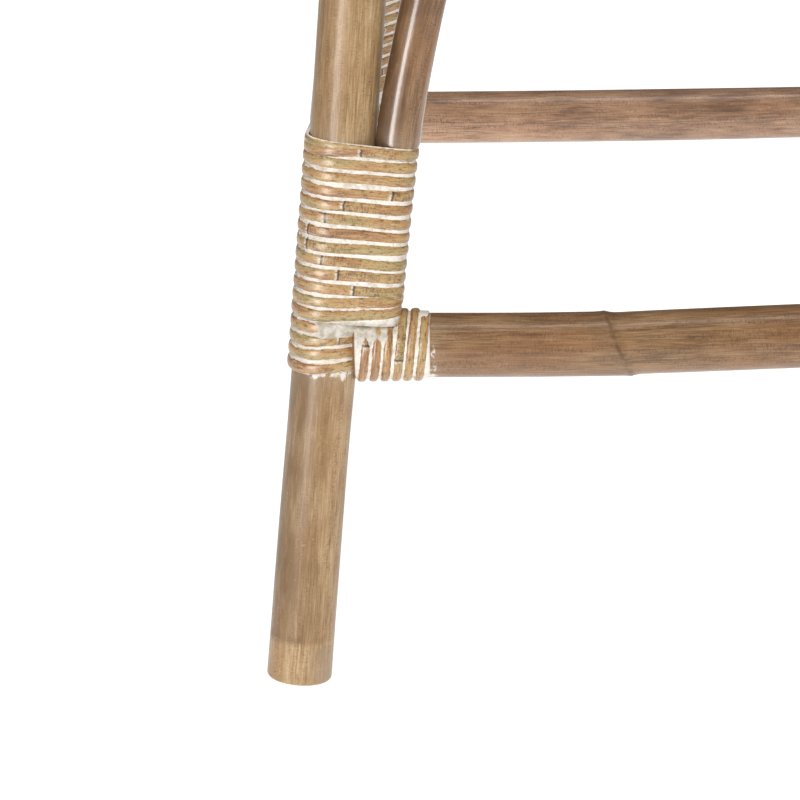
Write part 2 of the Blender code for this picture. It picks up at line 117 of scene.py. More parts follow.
JOINT = leg_point(FOOTREST_Z)
LEG_RADIUS = radius_about("leg_front_left", JOINT, LEG_AXIS)
HOOP = middle("seat_hoop")
HOOP_LOW, HOOP_HIGH = corners_of("seat_hoop")
HOOP_RADIUS = (HOOP_HIGH - HOOP_LOW)[2] / 2
HOOP_HALF = (HOOP_HIGH - HOOP_LOW)[0] / 2 - HOOP_RADIUS
SEAT_TOP_Z = corners_of("seat_weave")[1][2]
CROSS_RADIUS = (corners_of("cross_pole_left")[1] - middle("cross_pole_left"))[2]
CROSS_HALF = corners_of("cross_pole_left")[1][1]
HOOP_CORNER = (HOOP_HALF - leg_half(LEG_TOP_Z)) / (1 - math.sqrt(0.5))

KNOT_LOW, KNOT_HIGH = corners_of("knot_front_left")
KNOT_BOTTOM = (KNOT_LOW[2] - FOOTREST_Z) / LEG_AXIS[2] + 2.0 * MM
COLLAR_LOW, COLLAR_HIGH = corners_of("collar_front_start")
COLLAR_STRIP = (COLLAR_HIGH - COLLAR_LOW)[2] / 2 - FOOTREST_RADIUS
COLLAR_START = COLLAR_LOW[0] + FOOTREST_HALF
COLLAR_TIP = COLLAR_HIGH[0] + FOOTREST_HALF - 3.5 * MM
TOP_KNOT_LOW, TOP_KNOT_HIGH = corners_of("top_knot_front_left")
APEX_LOW, APEX_HIGH = corners_of("apex_knot_front")
STRIP = 2.1 * MM


def mirror(points, corner):
    """Points of the front left corner, moved to another corner."""
    across, deep = CORNERS[corner]
    return points * np.array([across, deep, 1.0])


def turn(points, face):
    """Points of the front face, turned about Z to another face."""
    for _ in range(FACES.index(face)):
        points = np.stack([-points[..., 1], points[..., 0], points[..., 2]], axis=-1)
    return points


def wave(*place):
    """Smooth noise between about -1 and 1."""
    return noise.noise(Vector((place + (0.0, 0.0, 0.0))[:3]))


def ease(value, low, high):
    part = np.clip((value - low) / (high - low), 0.0, 1.0)
    return part * part * (3 - 2 * part)


# The arch's axis, cut from its CAD solid


# The arch is cut level up to this far below its top, and by a fan of planes above that
ARCH_FAN = 0.13
ARCH_LEVEL_CUTS = 18
ARCH_FAN_ANGLES = np.radians(np.linspace(6, 90, 13))
# The axis goes on below the lowest cut by this share of the step between cuts
ARCH_FOOT_SHARE = 0.25
SOFTENING_PASSES = 30


def section_middle(points, edges, origin, normal, first, second):
    """The middle of a node's cut by a plane through origin, counting only what first points toward."""
    sides = (points - origin) @ normal
    crossing = edges[sides[edges[:, 0]] * sides[edges[:, 1]] < 0]
    a = sides[crossing[:, 0]]
    b = sides[crossing[:, 1]]
    part = (a / (a - b))[:, None]
    cuts = points[crossing[:, 0]] * (1 - part) + points[crossing[:, 1]] * part - origin
    cuts = cuts[cuts @ first > 0]
    centre = origin.copy()
    for direction in (first, second):
        spread = cuts @ direction
        centre += direction * (spread.min() + spread.max()) / 2
    return centre


def arch_axis():
    """Smooth points along the front arch's axis, from its left foot to its right foot."""
    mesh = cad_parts["arch_front"].data
    points = vertices_of("arch_front")
    edges = np.array([edge.vertices[:] for edge in mesh.edges])
    low, high = corners_of("arch_front")
    pivot = UP * (high[2] - ARCH_FAN)
    half = []
    for height in np.linspace(low[2] + 4 * MM, pivot[2], ARCH_LEVEL_CUTS):
        half.append(section_middle(points, edges, UP * height, UP, -RIGHT, BACK))
    for angle in ARCH_FAN_ANGLES:
        out = np.array([-math.cos(angle), 0.0, math.sin(angle)])
        normal = np.array([math.sin(angle), 0.0, math.cos(angle)])
        half.append(section_middle(points, edges, pivot, normal, out, BACK))
    half[-1][0] = 0.0
    half.insert(0, half[0] + (half[0] - half[1]) * ARCH_FOOT_SHARE)
    whole = half + [point * np.array([-1.0, 1.0, 1.0]) for point in reversed(half[:-1])]
    return smoothed(np.array(whole), 2.5 * MM)


def along(points):
    """Distance along a run of points."""
    steps = np.linalg.norm(np.diff(points, axis=0), axis=1)
    return np.concatenate([[0.0], np.cumsum(steps)])


def resampled(points, distances):
    reach = along(points)
    return np.stack([np.interp(distances, reach, points[:, axis]) for axis in range(3)], axis=1)


def smoothed(points, spacing):
    """A run of points spaced evenly and softened, so that a polyline's bends turn into curves."""
    reach = along(points)[-1]
    points = resampled(points, np.linspace(0, reach, int(reach / spacing) + 2))
    for _ in range(SOFTENING_PASSES):
        points[1:-1] = points[1:-1] * 0.5 + (points[:-2] + points[2:]) * 0.25
    return points


# Meshes from grids of points


def faces_out(mesh):
    """Flips a closed mesh if its faces point in."""
    volume = 0.0
    mesh.calc_loop_triangles()
    for triangle in mesh.loop_triangles:
        a, b, c = (mesh.vertices[i].co for i in triangle.vertices)
        volume += a.dot(b.cross(c))
    if volume < 0:
        mesh.flip_normals()


def grid_object(name, grid, material, attributes, looped=False, capped=True):
    """A smooth piece through rings of points. It is looped if its last ring joins its first."""
    rows, count = grid.shape[:2]
    index = np.arange(rows * count).reshape(rows, count)
    here = index if looped else index[:-1]
    above = np.roll(index, -1, axis=0) if looped else index[1:]
    quads = np.stack([here, np.roll(here, -1, 1), np.roll(above, -1, 1), above], axis=-1)
    faces = quads.reshape(-1, 4).tolist()
    if capped and not looped:
        faces.append(index[0][::-1].tolist())
        faces.append(index[-1].tolist())
    mesh = bpy.data.meshes.new(name)
    mesh.from_pydata(grid.reshape(-1, 3).tolist(), [], faces)
    for label, values in attributes.items():
        kind, field = ("FLOAT_VECTOR", "vector") if values.ndim == 3 else ("FLOAT", "value")
        mesh.attributes.new(label, kind, "POINT").data.foreach_set(field, values.reshape(-1))
    mesh.materials.append(material)
    mesh.update()
    mesh.shade_smooth()
    faces_out(mesh)
    piece = bpy.data.objects.new(name, mesh)
    bpy.context.scene.collection.objects.link(piece)
    return piece


def joined(name, pieces):
    """Several meshes as one piece."""
    first = pieces[0]
    with bpy.context.temp_override(
        active_object=first, object=first, selected_editable_objects=pieces
    ):
        bpy.ops.object.join()
    first.name = name
    first.data.name = name
    return first


def stand_in(piece, slot, *nodes):
    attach(piece, "root")
    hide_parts(*nodes)


# Poles


def radius_about_path(node, path):
    """The median distance of a CAD node's corners from the nearest point of a path."""
    away = np.linalg.norm(vertices_of(node)[:, None] - path[None], axis=2).min(axis=1)
    return float(np.median(away))


def ring_frames(points, start_side):
    """Two directions across a path at each point, carried along it without twist."""
    forward = np.gradient(points, axis=0)
    forward /= np.linalg.norm(forward, axis=1)[:, None]
    side = np.array(start_side, float)
    sides = []
    for direction in forward:
        side = side - direction * (side @ direction)
        side /= np.linalg.norm(side)
        sides.append(side)
    sides = np.array(sides)
    return sides, np.cross(forward, sides)


# Poles: rings apart, rings apart near a growth node and how far before and past it, facets round
RING_STEP = 4 * MM
NODE_RING_STEP = 0.7 * MM
NODE_BEFORE = 10 * MM
NODE_AFTER = 12 * MM
POLE_SIDES = 56
OUT_OF_ROUND = 0.10 * MM
# A growth node: its swell, its fine groove, and how much slimmer the cane is just past it
NODE_SWELL = 0.45 * MM
NODE_LENGTH = 3.2 * MM
NODE_GROOVE = 0.18 * MM
NODE_SLIM = 0.55 * MM
NODE_RECOVERY = 0.05
# The worn foot: its height, how pale it is, and how dark the line above it is
FOOT_WORN = 23 * MM
FOOT_WEAR = 0.62
FOOT_LINE = 0.7
NO_NODE = 1.0


def left_stain_and_shade(s, angles):
    """Upright poles are darker on their left side, most of all low down: partly the cane's own darker
    side, partly painted shade on the side that the lights reach least.
    """
    low = ease(-s, -0.21, -0.17)
    return np.clip(np.cos(angles + 0.9), 0, 1) * (0.5 + 0.5 * low) + 0.15 * low


def far_end_shade(s, angles):
    """Painted shade: the back footrest darkens toward its right end, which the lights reach less."""
    return 0.85 * ease(-s, -0.40, -0.20) + angles * 0


def pole_stations(reach, joints, foot):
    """Where a pole's rings go along it."""
    stations = set(np.round(np.arange(0, reach, RING_STEP), 5).tolist() + [round(reach, 5)])
    for place, _, _ in joints:
        near = np.arange(place - NODE_BEFORE, place + NODE_AFTER, NODE_RING_STEP)
        stations |= set(np.round(near, 5).tolist())
    if foot:
        arc = np.radians(np.arange(0, 91, 15))
        stations |= set(np.round(foot * (1 - np.cos(arc)), 6).tolist())
    return np.array(sorted(s for s in stations if 0 <= s <= reach))


def node_shape(gap):
    """How much a growth node adds to a pole's radius, at a distance past it."""
    swell = NODE_SWELL * np.exp(-((gap / NODE_LENGTH) ** 2))
    groove = NODE_GROOVE * np.exp(-(((gap - 0.4 * MM) / (0.6 * MM)) ** 2))
    slim = NODE_SLIM * ease(gap, -0.5 * MM, 2.0 * MM) * np.exp(-np.clip(gap, 0, 1) / NODE_RECOVERY)
    return swell - groove - slim


def pole(name, path, radius, material, joints=(), wash=(), start_side=(0, -1, 0), seed=0, foot=0.0,
         shade_and_stain=None):
    """A cane pole along a path. joints are (distance, tilt, lean) of its growth nodes; wash is a list
    of (distance, fade, strength, lean) where pale wash has run onto it, most at the angle lean; foot
    rounds its first end, worn pale and standing on the floor; stain(s, angles) is how dark a part is
    as painted shade, on upright poles partly their own darker side, or how pale if negative."""
    reach = along(path)[-1]
    stations = pole_stations(reach, joints, foot)
    points = resampled(path, stations)
    first, second = ring_frames(points, start_side)
    angles = np.linspace(0, 2 * math.pi, POLE_SIDES, endpoint=False)
    s = stations[:, None]
    spread = np.ones((1, len(angles)))
    size = np.array([radius(place) for place in stations])[:, None] * spread
    size = size + OUT_OF_ROUND * np.cos(3 * angles + seed)[None, :] * np.sin(s * 9 + seed)
    scar = np.full(size.shape, NO_NODE)
    for place, tilt, lean in joints:
        gap = s - place - tilt * np.cos(angles - lean)[None, :]
        size = size + node_shape(gap)
        scar = np.where(np.abs(gap) < np.abs(scar), gap, scar)
    if foot:
        size = size - foot + np.sqrt(np.clip(foot**2 - np.clip(foot - s, 0, foot) ** 2, 0, None))
    around = np.cos(angles)[None, :, None] * first[:, None]
    around = around + np.sin(angles)[None, :, None] * second[:, None]
    grid = points[:, None] + around * size[..., None]
    dark = np.zeros(size.shape)
    # Painted shade: one side or one end of the pole is darkened here, on upright poles partly their own
    # darker side.
    if shade_and_stain:
        dark += shade_and_stain(s, angles[None, :])
    if foot:
        ragged = 0.6 * MM * (np.sin(7 * angles + seed) + np.sin(17 * angles))
        above = s - FOOT_WORN + ragged[None, :]
        worn = ease(-above, 0.0, 1.2 * MM)
        dark = dark * (1 - 0.4 * worn) - FOOT_WEAR * worn + FOOT_LINE * np.exp(-((above / MM) ** 2))
        grid[..., 2] = np.maximum(grid[..., 2], 0.0)
    paste = np.zeros(size.shape)
    for place, fade, strength, lean in wash:
        near = np.exp(-np.abs(s - place) / abs(fade)) * (np.sign(fade) * (s - place) > -3 * MM)
        paste = np.maximum(paste, near * strength * (0.64 + 0.36 * np.cos(angles - lean)))
    grain = np.stack(
        [size * np.cos(angles) + seed * 0.37, size * np.sin(angles) - seed * 0.21, s + spread * seed],
        axis=-1,
    )
    values = {"grain": grain, "scar": scar, "paste": paste, "shade_and_stain": dark}
    return grid_object(name, grid, material, values)


# Lashings


def tight_outline(discs, samples):
    """Points and outward directions, evenly spaced round the tight outline of discs (x, y, radius)."""
    angles = np.linspace(math.pi / 2, math.pi * 5 / 2, 720, endpoint=False)
    out = np.stack([np.cos(angles), np.sin(angles)], axis=1)
    discs = np.array(discs)
    best = (discs[:, :2] @ out.T + discs[:, 2:3]).argmax(axis=0)
    points = discs[best, :2] + out * discs[best, 2:3]
    loop = np.vstack([points, points[:1]])
    steps = np.linalg.norm(np.diff(loop, axis=0), axis=1)
    reach = np.concatenate([[0.0], np.cumsum(steps)])
    places = np.linspace(0, reach[-1], samples, endpoint=False)
    outs = np.vstack([out, out[:1]])
    even = np.stack([np.interp(places, reach, loop[:, axis]) for axis in range(2)], axis=1)
    facing = np.stack([np.interp(places, reach, outs[:, axis]) for axis in range(2)], axis=1)
    facing /= np.linalg.norm(facing, axis=1)[:, None]
    return even, facing, reach[-1]


# A strip's section: where its points are across it, and how high its crown stands there
ACROSS = np.array([-1.0, -0.93, -0.78, -0.55, -0.28, 0.0, 0.28, 0.55, 0.78, 0.93, 1.0])
SIDEWAYS = np.concatenate([ACROSS, [0.9, -0.9]])
DOME = np.concatenate([(1 - np.abs(ACROSS) ** 2.7) ** 0.5, [-0.25, -0.25]])
# Its ends taper over this many steps, and its width varies by this share
TAPER_STEPS = 6
WIDTH_CHANGE = 0.16
NO_MARK = 1.0
# Wash: rows apart along the axis, rows at each end that thin out, and how far the lids are sunk
WASH_STEP = 0.8 * MM
WASH_FADE_ROWS = 3
WASH_TUCK = -4.5 * MM


def wound_strip(name, place, discs, start, stop, pitch, width, height, material,
                seed=0.0, marks=None, drift=0.3, steady=0.35, front=0.5, lift=None, fine=1.7 * MM):
    """A peel strip wound from start to stop along an axis. place(s) gives the axis point and the
    two directions across it, and discs(s) the poles that the strip goes round. It climbs least at
    the share of a turn called front, or most if steady is negative. lift(level, share) moves it."""
    turns = abs(stop - start) / pitch
    way = 1.0 if stop > start else -1.0
    _, _, girth = tight_outline(discs(start), 180)
    samples = int(girth / fine)
    outlines = []
    for number in range(int(turns) + 2):
        level = start + way * pitch * min(number, turns)
        outlines.append(tight_outline(discs(level), samples)[:2])
    total = int(turns * samples)
    grid = np.empty((total, len(DOME), 3))
    strip = np.empty((total, len(DOME), 3))
    mark = np.empty((total, len(DOME)))
    girth_run = 0.0
    previous = None
    for step in range(total):
        number, part = divmod(step, samples)
        share = part / samples
        change = float(ease(share, 0.62, 0.95))
        points, facing = (
            outlines[number][side][part] * (1 - change) + outlines[number + 1][side][part] * change
            for side in (0, 1)
        )
        climb = number + share - steady * math.sin(2 * math.pi * (share - front)) / (2 * math.pi)
        level = start + way * pitch * climb
        if lift:
            level += lift(level, share)
        level += drift * MM * wave(step * 0.045, seed) + 0.5 * drift * MM * wave(step * 0.011, seed + 9)
        origin, first, second, axis = place(level)
        out = first * facing[0] + second * facing[1]
        base = origin + first * points[0] + second * points[1]
        if previous is not None:
            girth_run += np.linalg.norm(base - previous)
        previous = base
        rise = height * min(1.0, 0.1 + min(step, total - 1 - step) / TAPER_STEPS)
        rise += 0.16 * MM * wave(step * 0.06, seed + 3)
        half = width / 2 * (1 + WIDTH_CHANGE * wave(step * 0.05, seed + 5))
        grid[step] = base + np.outer(SIDEWAYS * half, axis) + np.outer(DOME * rise, out)
        strip[step, :, 0] = girth_run + seed
        strip[step, :, 1] = SIDEWAYS
        strip[step, :, 2] = number + seed
        nearest = NO_MARK
        if marks:
            for spot in marks(number):
                gap = (share - spot) * girth
                nearest = gap if abs(gap) < abs(nearest) else nearest
        mark[step] = nearest
    return grid_object(name, grid, material, {"strip": strip, "mark": mark})


def wash_bed(name, place, discs, start, stop, level, material, seed=0.0, fine=1.5 * MM, skew=0.0):
    """The pale wash that fills the seams, as a sleeve a little below the strips' crowns. level gives
    its thickness; skew is how far its first edge follows the strip along the axis in one turn."""
    rows = int(abs(stop - start) / WASH_STEP) + 2
    _, _, girth = tight_outline(discs(start), 180)
    samples = int(girth / fine)
    grid = np.empty((rows, samples, 3))
    thick_grey = np.empty((rows, samples))
    for row in range(rows):
        part = row / (rows - 1)
        height = start + (stop - start) * part
        points, facing, _ = tight_outline(discs(height), samples)
        fade = min(1.0, min(row, rows - 1 - row) / WASH_FADE_ROWS)
        tuck = WASH_TUCK if row in (0, rows - 1) else 0.0
        for column in range(samples):
            share = column / samples
            shifted = height + skew * share * (1 - part)
            origin, first, second, _ = place(shifted)
            thick = fade * level(shifted, share)
            # Greyer where the wash lies thick.
            thick_grey[row, column] = 0.75 * ease(thick, 1.1 * MM, 1.7 * MM)
            thick += tuck
            thick += 0.20 * MM * wave(column * 0.33, height * 420, seed)
            thick += 0.13 * MM * wave(column * 0.9, height * 1300, seed + 4)
            x, y = points[column] + facing[column] * thick
            grid[row, column] = origin + first * x + second * y
    return grid_object(name, grid, material, {"thick_grey": thick_grey}, capped=False)


# Materials


def paint(red, green, blue):
    """A screen colour from 0 to 255, as the linear colour that a shader takes."""
    def linear(part):
        part /= 255
        return part / 12.92 if part <= 0.04045 else ((part + 0.055) / 1.055) ** 2.4

    return (linear(red), linear(green), linear(blue), 1.0)


class Looks:
    """A material under construction, with a short word for each kind of node."""

    def __init__(self, name):
        self.material = bpy.data.materials.new(name)
        self.material.use_nodes = True
        self.tree = self.material.node_tree
        self.shader = self.tree.nodes["Principled BSDF"]

    def node(self, kind, *inputs, **settings):
        made = self.tree.nodes.new(kind)
        for label, value in settings.items():
            setattr(made, label, value)
        for socket, value in zip(made.inputs, inputs):
            self.feed(socket, value)
        return made

    def feed(self, socket, value):
        if isinstance(value, bpy.types.NodeSocket):
            self.tree.links.new(value, socket)
        elif value is not None:
            socket.default_value = value

    def finish(self, label, value):
        self.feed(self.shader.inputs[label], value)

    def attribute(self, name, output="Vector"):
        return self.node("ShaderNodeAttribute", attribute_name=name).outputs[output]

    def noise(self, vector, stretch, size, detail=3.0, rough=0.55):
        spread = self.node("ShaderNodeVectorMath", vector, stretch, operation="MULTIPLY").outputs[0]
        cloud = self.node("ShaderNodeTexNoise")
        self.feed(cloud.inputs["Vector"], spread)
        cloud.inputs["Scale"].default_value = size
        cloud.inputs["Detail"].default_value = detail
        cloud.inputs["Roughness"].default_value = rough
        return cloud.outputs["Fac"]

    def calc(self, operation, first, second=0.0, third=0.0):
        return self.node("ShaderNodeMath", first, second, third, operation=operation).outputs[0]

    def times(self, first, second):
        return self.calc("MULTIPLY", first, second)

    def range(self, value, low, high, start=0.0, stop=1.0):
        """Smooth step of a value from one range to another, clamped."""
        made = self.node("ShaderNodeMapRange", value, low, high, start, stop)
        made.interpolation_type = "SMOOTHSTEP"
        return made.outputs[0]

    def ramp(self, factor, *stops):
        made = self.node("ShaderNodeValToRGB", factor)
        bar = made.color_ramp.elements
        while len(bar) < len(stops):
            bar.new(0.5)
        for element, (place, colour) in zip(bar, stops):
            element.position = place
            element.color = colour
        return made.outputs[0]

    def mix(self, factor, first, second):
        made = self.tree.nodes.new("ShaderNodeMix")
        made.data_type = "RGBA"
        self.feed(made.inputs["Factor"], factor)
        self.feed(made.inputs[6], first)
        self.feed(made.inputs[7], second)
        return made.outputs[2]

    def tint(self, colour, amount, strength, other):
        """A colour moved toward another where the amount is high, by at most the strength."""
        return self.mix(self.times(amount, strength), colour, other)

    def bump(self, height, strength, distance, under=None):
        made = self.tree.nodes.new("ShaderNodeBump")
        made.inputs["Strength"].default_value = strength
        made.inputs["Distance"].default_value = distance
        self.feed(made.inputs["Height"], height)
        if under is not None:
            self.feed(made.inputs["Normal"], under)
        return made.outputs[0]


WASH = paint(243, 235, 224)


def cane_material(
    name, dark, middle_tone, pale, warm, flecks=0.4, gloss=0.42, coat=0.3, coat_rough=0.28
):
    """Lacquered cane: long fibres, streaks, fine cross ticks, dark flecks and growth scars."""
    looks = Looks(name)
    grain = looks.attribute("grain")
    fibre = looks.noise(grain, (1, 1, 0.045), 1500, 4, 0.65)
    streak = looks.noise(grain, (1, 1, 0.07), 360, 4, 0.6)
    cloud = looks.noise(grain, (1, 1, 0.40), 64, 5, 0.62)
    tick = looks.noise(grain, (0.30, 0.30, 1), 1500, 4, 0.65)
    tone = looks.times(streak, 0.20)
    tone = looks.calc("MULTIPLY_ADD", cloud, 0.28, tone)
    tone = looks.calc("MULTIPLY_ADD", fibre, 0.56, tone)
    tone = looks.calc("MULTIPLY_ADD", tick, 0.16, tone)
    colour = looks.ramp(tone, (0.46, dark), (0.59, middle_tone), (0.73, pale))
    broad = looks.noise(grain, (1, 1, 0.30), 26, 3, 0.6)
    colour = looks.tint(colour, looks.range(broad, 0.46, 0.62), 0.45, warm)
    zone = looks.calc("MULTIPLY_ADD", looks.range(streak, 0.56, 0.40), 0.6, 0.4)
    ticks = looks.times(looks.range(tick, 0.49, 0.60), zone)
    colour = looks.tint(colour, ticks, 0.68, dark)
    line = looks.noise(grain, (1, 1, 0.10), 520, 4, 0.65)
    lines = looks.times(looks.range(line, 0.57, 0.68), looks.range(tick, 0.40, 0.56))
    lines = looks.times(lines, looks.range(cloud, 0.60, 0.44))
    colour = looks.tint(colour, lines, flecks, paint(84, 56, 34))
    # Painted shade: this attribute darkens one side or one end of a pole, on upright poles partly their
    # own darker side; below zero it marks the pale worn foot.
    shade = looks.attribute("shade_and_stain", "Fac")
    shade_and_stain = looks.times(shade, looks.range(cloud, 0.34, 0.60, 0.90, 0.60))
    colour = looks.tint(colour, shade_and_stain, looks.range(line, 0.30, 0.52, 0.50, 1.0), dark)
    scar = looks.attribute("scar", "Fac")
    gap = looks.calc("ABSOLUTE", scar)
    patch = looks.noise(grain, (1, 1, 1), 260, 4, 0.6)
    ring = looks.times(looks.range(gap, 0.0016, 0.0003), looks.range(patch, 0.34, 0.60))
    halo = looks.times(looks.range(scar, -0.016, -0.001), looks.range(scar, 0.006, 0.0))
    colour = looks.tint(colour, halo, 0.34, paint(104, 78, 56))
    colour = looks.tint(colour, ring, 0.38, paint(70, 50, 36))
    scuff = looks.noise(grain, (0.6, 0.6, 1), 420, 5, 0.72)
    scuffs = looks.times(looks.range(scuff, 0.58, 0.66), looks.range(broad, 0.50, 0.60))
    colour = looks.tint(colour, scuffs, 0.30, pale)
    rubbed = looks.attribute("paste", "Fac")
    colour = looks.tint(colour, rubbed, 0.35, paint(186, 172, 150))
    colour = looks.mix(looks.range(shade, 0.0, -1.0), colour, paint(156, 132, 106))
    paste = looks.range(looks.calc("ADD", rubbed, patch), 0.98, 1.14)
    colour = looks.tint(colour, paste, 0.9, WASH)
    looks.finish("Base Color", colour)
    shine = looks.range(cloud, 0.3, 0.7, gloss + 0.10, gloss - 0.06)
    looks.finish("Roughness", looks.calc("MULTIPLY_ADD", paste, 0.3, shine))
    looks.finish("Specular IOR Level", 0.28)
    looks.finish("Coat Weight", coat)
    looks.finish("Coat Roughness", coat_rough)
    under = looks.bump(fibre, 0.30, 0.0004)
    under = looks.bump(streak, 0.30, 0.0008, under)
    under = looks.bump(ticks, -0.25, 0.0003, under)
    under = looks.bump(paste, 0.5, 0.0004, under)
    looks.finish("Normal", looks.bump(ring, -0.4, 0.0006, under))
    return looks.material


def strip_material(name, wash_amount=1.0, calm=1.0):
    """Peel strip: ochre to olive skin with long fibres, crossed scars, and wash on its edges. Its hue
    changes less along it, and its dark fibres are fainter, where calm is below 1."""
    looks = Looks(name)
    strip = looks.attribute("strip")
    mark = looks.attribute("mark", "Fac")
    parts = looks.node("ShaderNodeSeparateXYZ", strip).outputs
    hue = looks.noise(strip, (22, 0.5, 3.1), 1.0, 4, 0.65)
    hue = looks.calc("MULTIPLY_ADD", hue, calm, 0.5 - 0.5 * calm)
    fibre = looks.noise(strip, (60, 3.2, 7.3), 1.0, 5, 0.65)
    fine = looks.noise(strip, (330, 3.4, 5.1), 1.0, 4, 0.65)
    speck = looks.noise(strip, (1500, 2.6, 4.4), 1.0, 3, 0.6)
    colour = looks.ramp(
        hue,
        (0.32, paint(150, 138, 86)),
        (0.42, paint(184, 158, 104)),
        (0.50, paint(194, 154, 98)),
        (0.58, paint(178, 128, 80)),
        (0.68, paint(148, 104, 66)),
    )
    colour = looks.tint(colour, looks.range(fibre, 0.46, 0.62), 0.50, paint(212, 180, 134))
    colour = looks.tint(colour, looks.range(fine, 0.50, 0.66), 0.72 * calm, paint(98, 66, 38))
    colour = looks.tint(colour, looks.range(speck, 0.52, 0.66), 0.42, paint(92, 62, 36))
    zone = looks.times(looks.range(mark, 0.0004, 0.002), looks.range(mark, 0.028, 0.010))
    hatch = looks.noise(strip, (1250, 0.9, 3.0), 1.0, 4, 0.7)
    thick = looks.noise(strip, (190, 1.0, 2.0), 1.0, 2)
    hatch = looks.times(looks.range(hatch, 0.44, 0.58), looks.range(thick, 0.36, 0.56))
    hatch = looks.times(hatch, zone)
    colour = looks.tint(colour, hatch, 0.75, paint(112, 70, 36))
    drift = looks.noise(strip, (40, 1.2, 9.0), 1.0, 3, 0.7)
    wobble = looks.calc("MULTIPLY_ADD", drift, 0.0024, -0.0012)
    beside = looks.calc("ADD", mark, wobble)
    crack = looks.range(looks.calc("ABSOLUTE", beside), 0.0009, 0.0002)
    cream = looks.times(looks.range(beside, -0.0026, -0.0008), looks.range(beside, 0.0002, -0.0006))
    cream = looks.times(cream, looks.range(fine, 0.60, 0.46))
    edge = looks.calc("ABSOLUTE", parts[1])
    ragged = looks.noise(strip, (240, 1.6, 5.0), 1.0, 5, 0.7)
    edge = looks.calc("MULTIPLY_ADD", ragged, 0.95 * wash_amount, edge)
    # Painted shade: a thin dark line along each strip edge where it meets the wash, for the strip's
    # contact shadow on it.
    rim = looks.times(looks.range(edge, 1.10, 1.24), looks.range(fine, 0.40, 0.60))
    colour = looks.tint(colour, rim, 0.55, paint(92, 66, 42))
    wash = looks.range(edge, 1.22, 1.34)
    smear = looks.noise(strip, (75, 1.9, 8.0), 1.0, 5, 0.72)
    smear = looks.times(looks.range(smear, 0.58, 0.70), 0.55 * wash_amount)
    wash = looks.calc("MAXIMUM", wash, smear)
    wash = looks.calc("MAXIMUM", wash, looks.times(cream, 0.7))
    colour = looks.mix(wash, colour, WASH)
    colour = looks.tint(colour, crack, 0.85, paint(52, 38, 26))
    looks.finish("Base Color", colour)
    looks.finish("Roughness", looks.range(wash, 0.0, 1.0, 0.42, 0.72))
    looks.finish("Coat Weight", looks.range(wash, 0.0, 1.0, 0.45, 0.1))
    looks.finish("Coat Roughness", 0.30)
    under = looks.bump(fibre, 0.35, 0.0006)
    under = looks.bump(fine, -0.25, 0.0004, under)
    under = looks.bump(hatch, -0.35, 0.0003, under)
    under = looks.bump(wash, 0.35, 0.0003, under)
    looks.finish("Normal", looks.bump(crack, -0.8, 0.0006, under))
    return looks.material


def wash_material():
    """The dried wash in the seams: cream, matt, uneven, with thin dark pits, and greyer where thick."""
    looks = Looks("seam_wash")
    place = looks.node("ShaderNodeTexCoord").outputs["Object"]
    cloud = looks.noise(place, (1, 1, 1), 210, 5, 0.6)
    pits = looks.noise(place, (1, 1, 2.2), 900, 3, 0.6)
    colour = looks.ramp(cloud, (0.30, paint(206, 192, 172)), (0.5, WASH), (0.7, paint(248, 243, 235)))
    thick_grey = looks.times(looks.attribute("thick_grey", "Fac"), looks.range(cloud, 0.30, 0.62, 1.0, 0.45))
    colour = looks.mix(thick_grey, colour, paint(152, 143, 122))
    holes = looks.times(looks.range(pits, 0.60, 0.72), 0.7)
    colour = looks.mix(holes, colour, paint(120, 100, 78))
    looks.finish("Base Color", colour)
    looks.finish("Roughness", 0.8)
    under = looks.bump(cloud, 0.5, 0.0006)
    looks.finish("Normal", looks.bump(pits, -0.4, 0.0004, under))
    return looks.material


def steel_material():
    """Zinc-plated screw steel with a fine turned grain."""
    looks = Looks("plated_steel")
    place = looks.node("ShaderNodeTexCoord").outputs["Object"]
    fine = looks.noise(place, (1, 1, 1), 1800, 3)
    tones = ((0.3, paint(150, 150, 148)), (0.7, paint(196, 195, 190)))
    looks.finish("Base Color", looks.ramp(fine, *tones))
    looks.finish("Metallic", 1.0)
    looks.finish("Roughness", looks.range(fine, 0.3, 0.7, 0.28, 0.45))
    looks.finish("Normal", looks.bump(fine, 0.2, 0.0002))
    return looks.material


LEG_CANE = cane_material(
    "leg_cane", paint(126, 94, 58), paint(180, 147, 104), paint(212, 185, 146), paint(174, 130, 84),
    gloss=0.48, coat=0.40, coat_rough=0.30,
)
FOOTREST_CANE = cane_material(
    "footrest_cane", paint(92, 68, 46), paint(144, 110, 76), paint(178, 146, 110), paint(150, 104, 70),
    coat=0.5, coat_rough=0.22,
)
# Back footrest cane: its own redder colour, and made paler as painted light, for the more direct light
# on it.
RED_LIT_CANE = cane_material(
    "red_lit_cane", paint(110, 86, 70), paint(204, 160, 126), paint(226, 188, 154), paint(206, 150, 114),
    coat=0.5, coat_rough=0.22,
)
ARCH_CANE = cane_material(
    "arch_cane", paint(98, 70, 46), paint(156, 118, 82), paint(190, 152, 112), paint(172, 116, 80),
    flecks=0.3, gloss=0.36, coat=0.9, coat_rough=0.20,
)
SEAT_CANE = cane_material(
    "seat_cane", paint(112, 84, 58), paint(156, 124, 92), paint(186, 158, 124), paint(150, 112, 76)
)
PEEL = strip_material("peel_strip", wash_amount=0.92)
SEAT_PEEL = strip_material("seat_peel", wash_amount=0.72, calm=0.45)
SEAM_WASH = wash_material()
PLATED_STEEL = steel_material()

# Arches

ARCH_PATH = arch_axis()
ARCH_REACH = along(ARCH_PATH)[-1]
ARCH_RADIUS = radius_about_path("arch_front", ARCH_PATH)


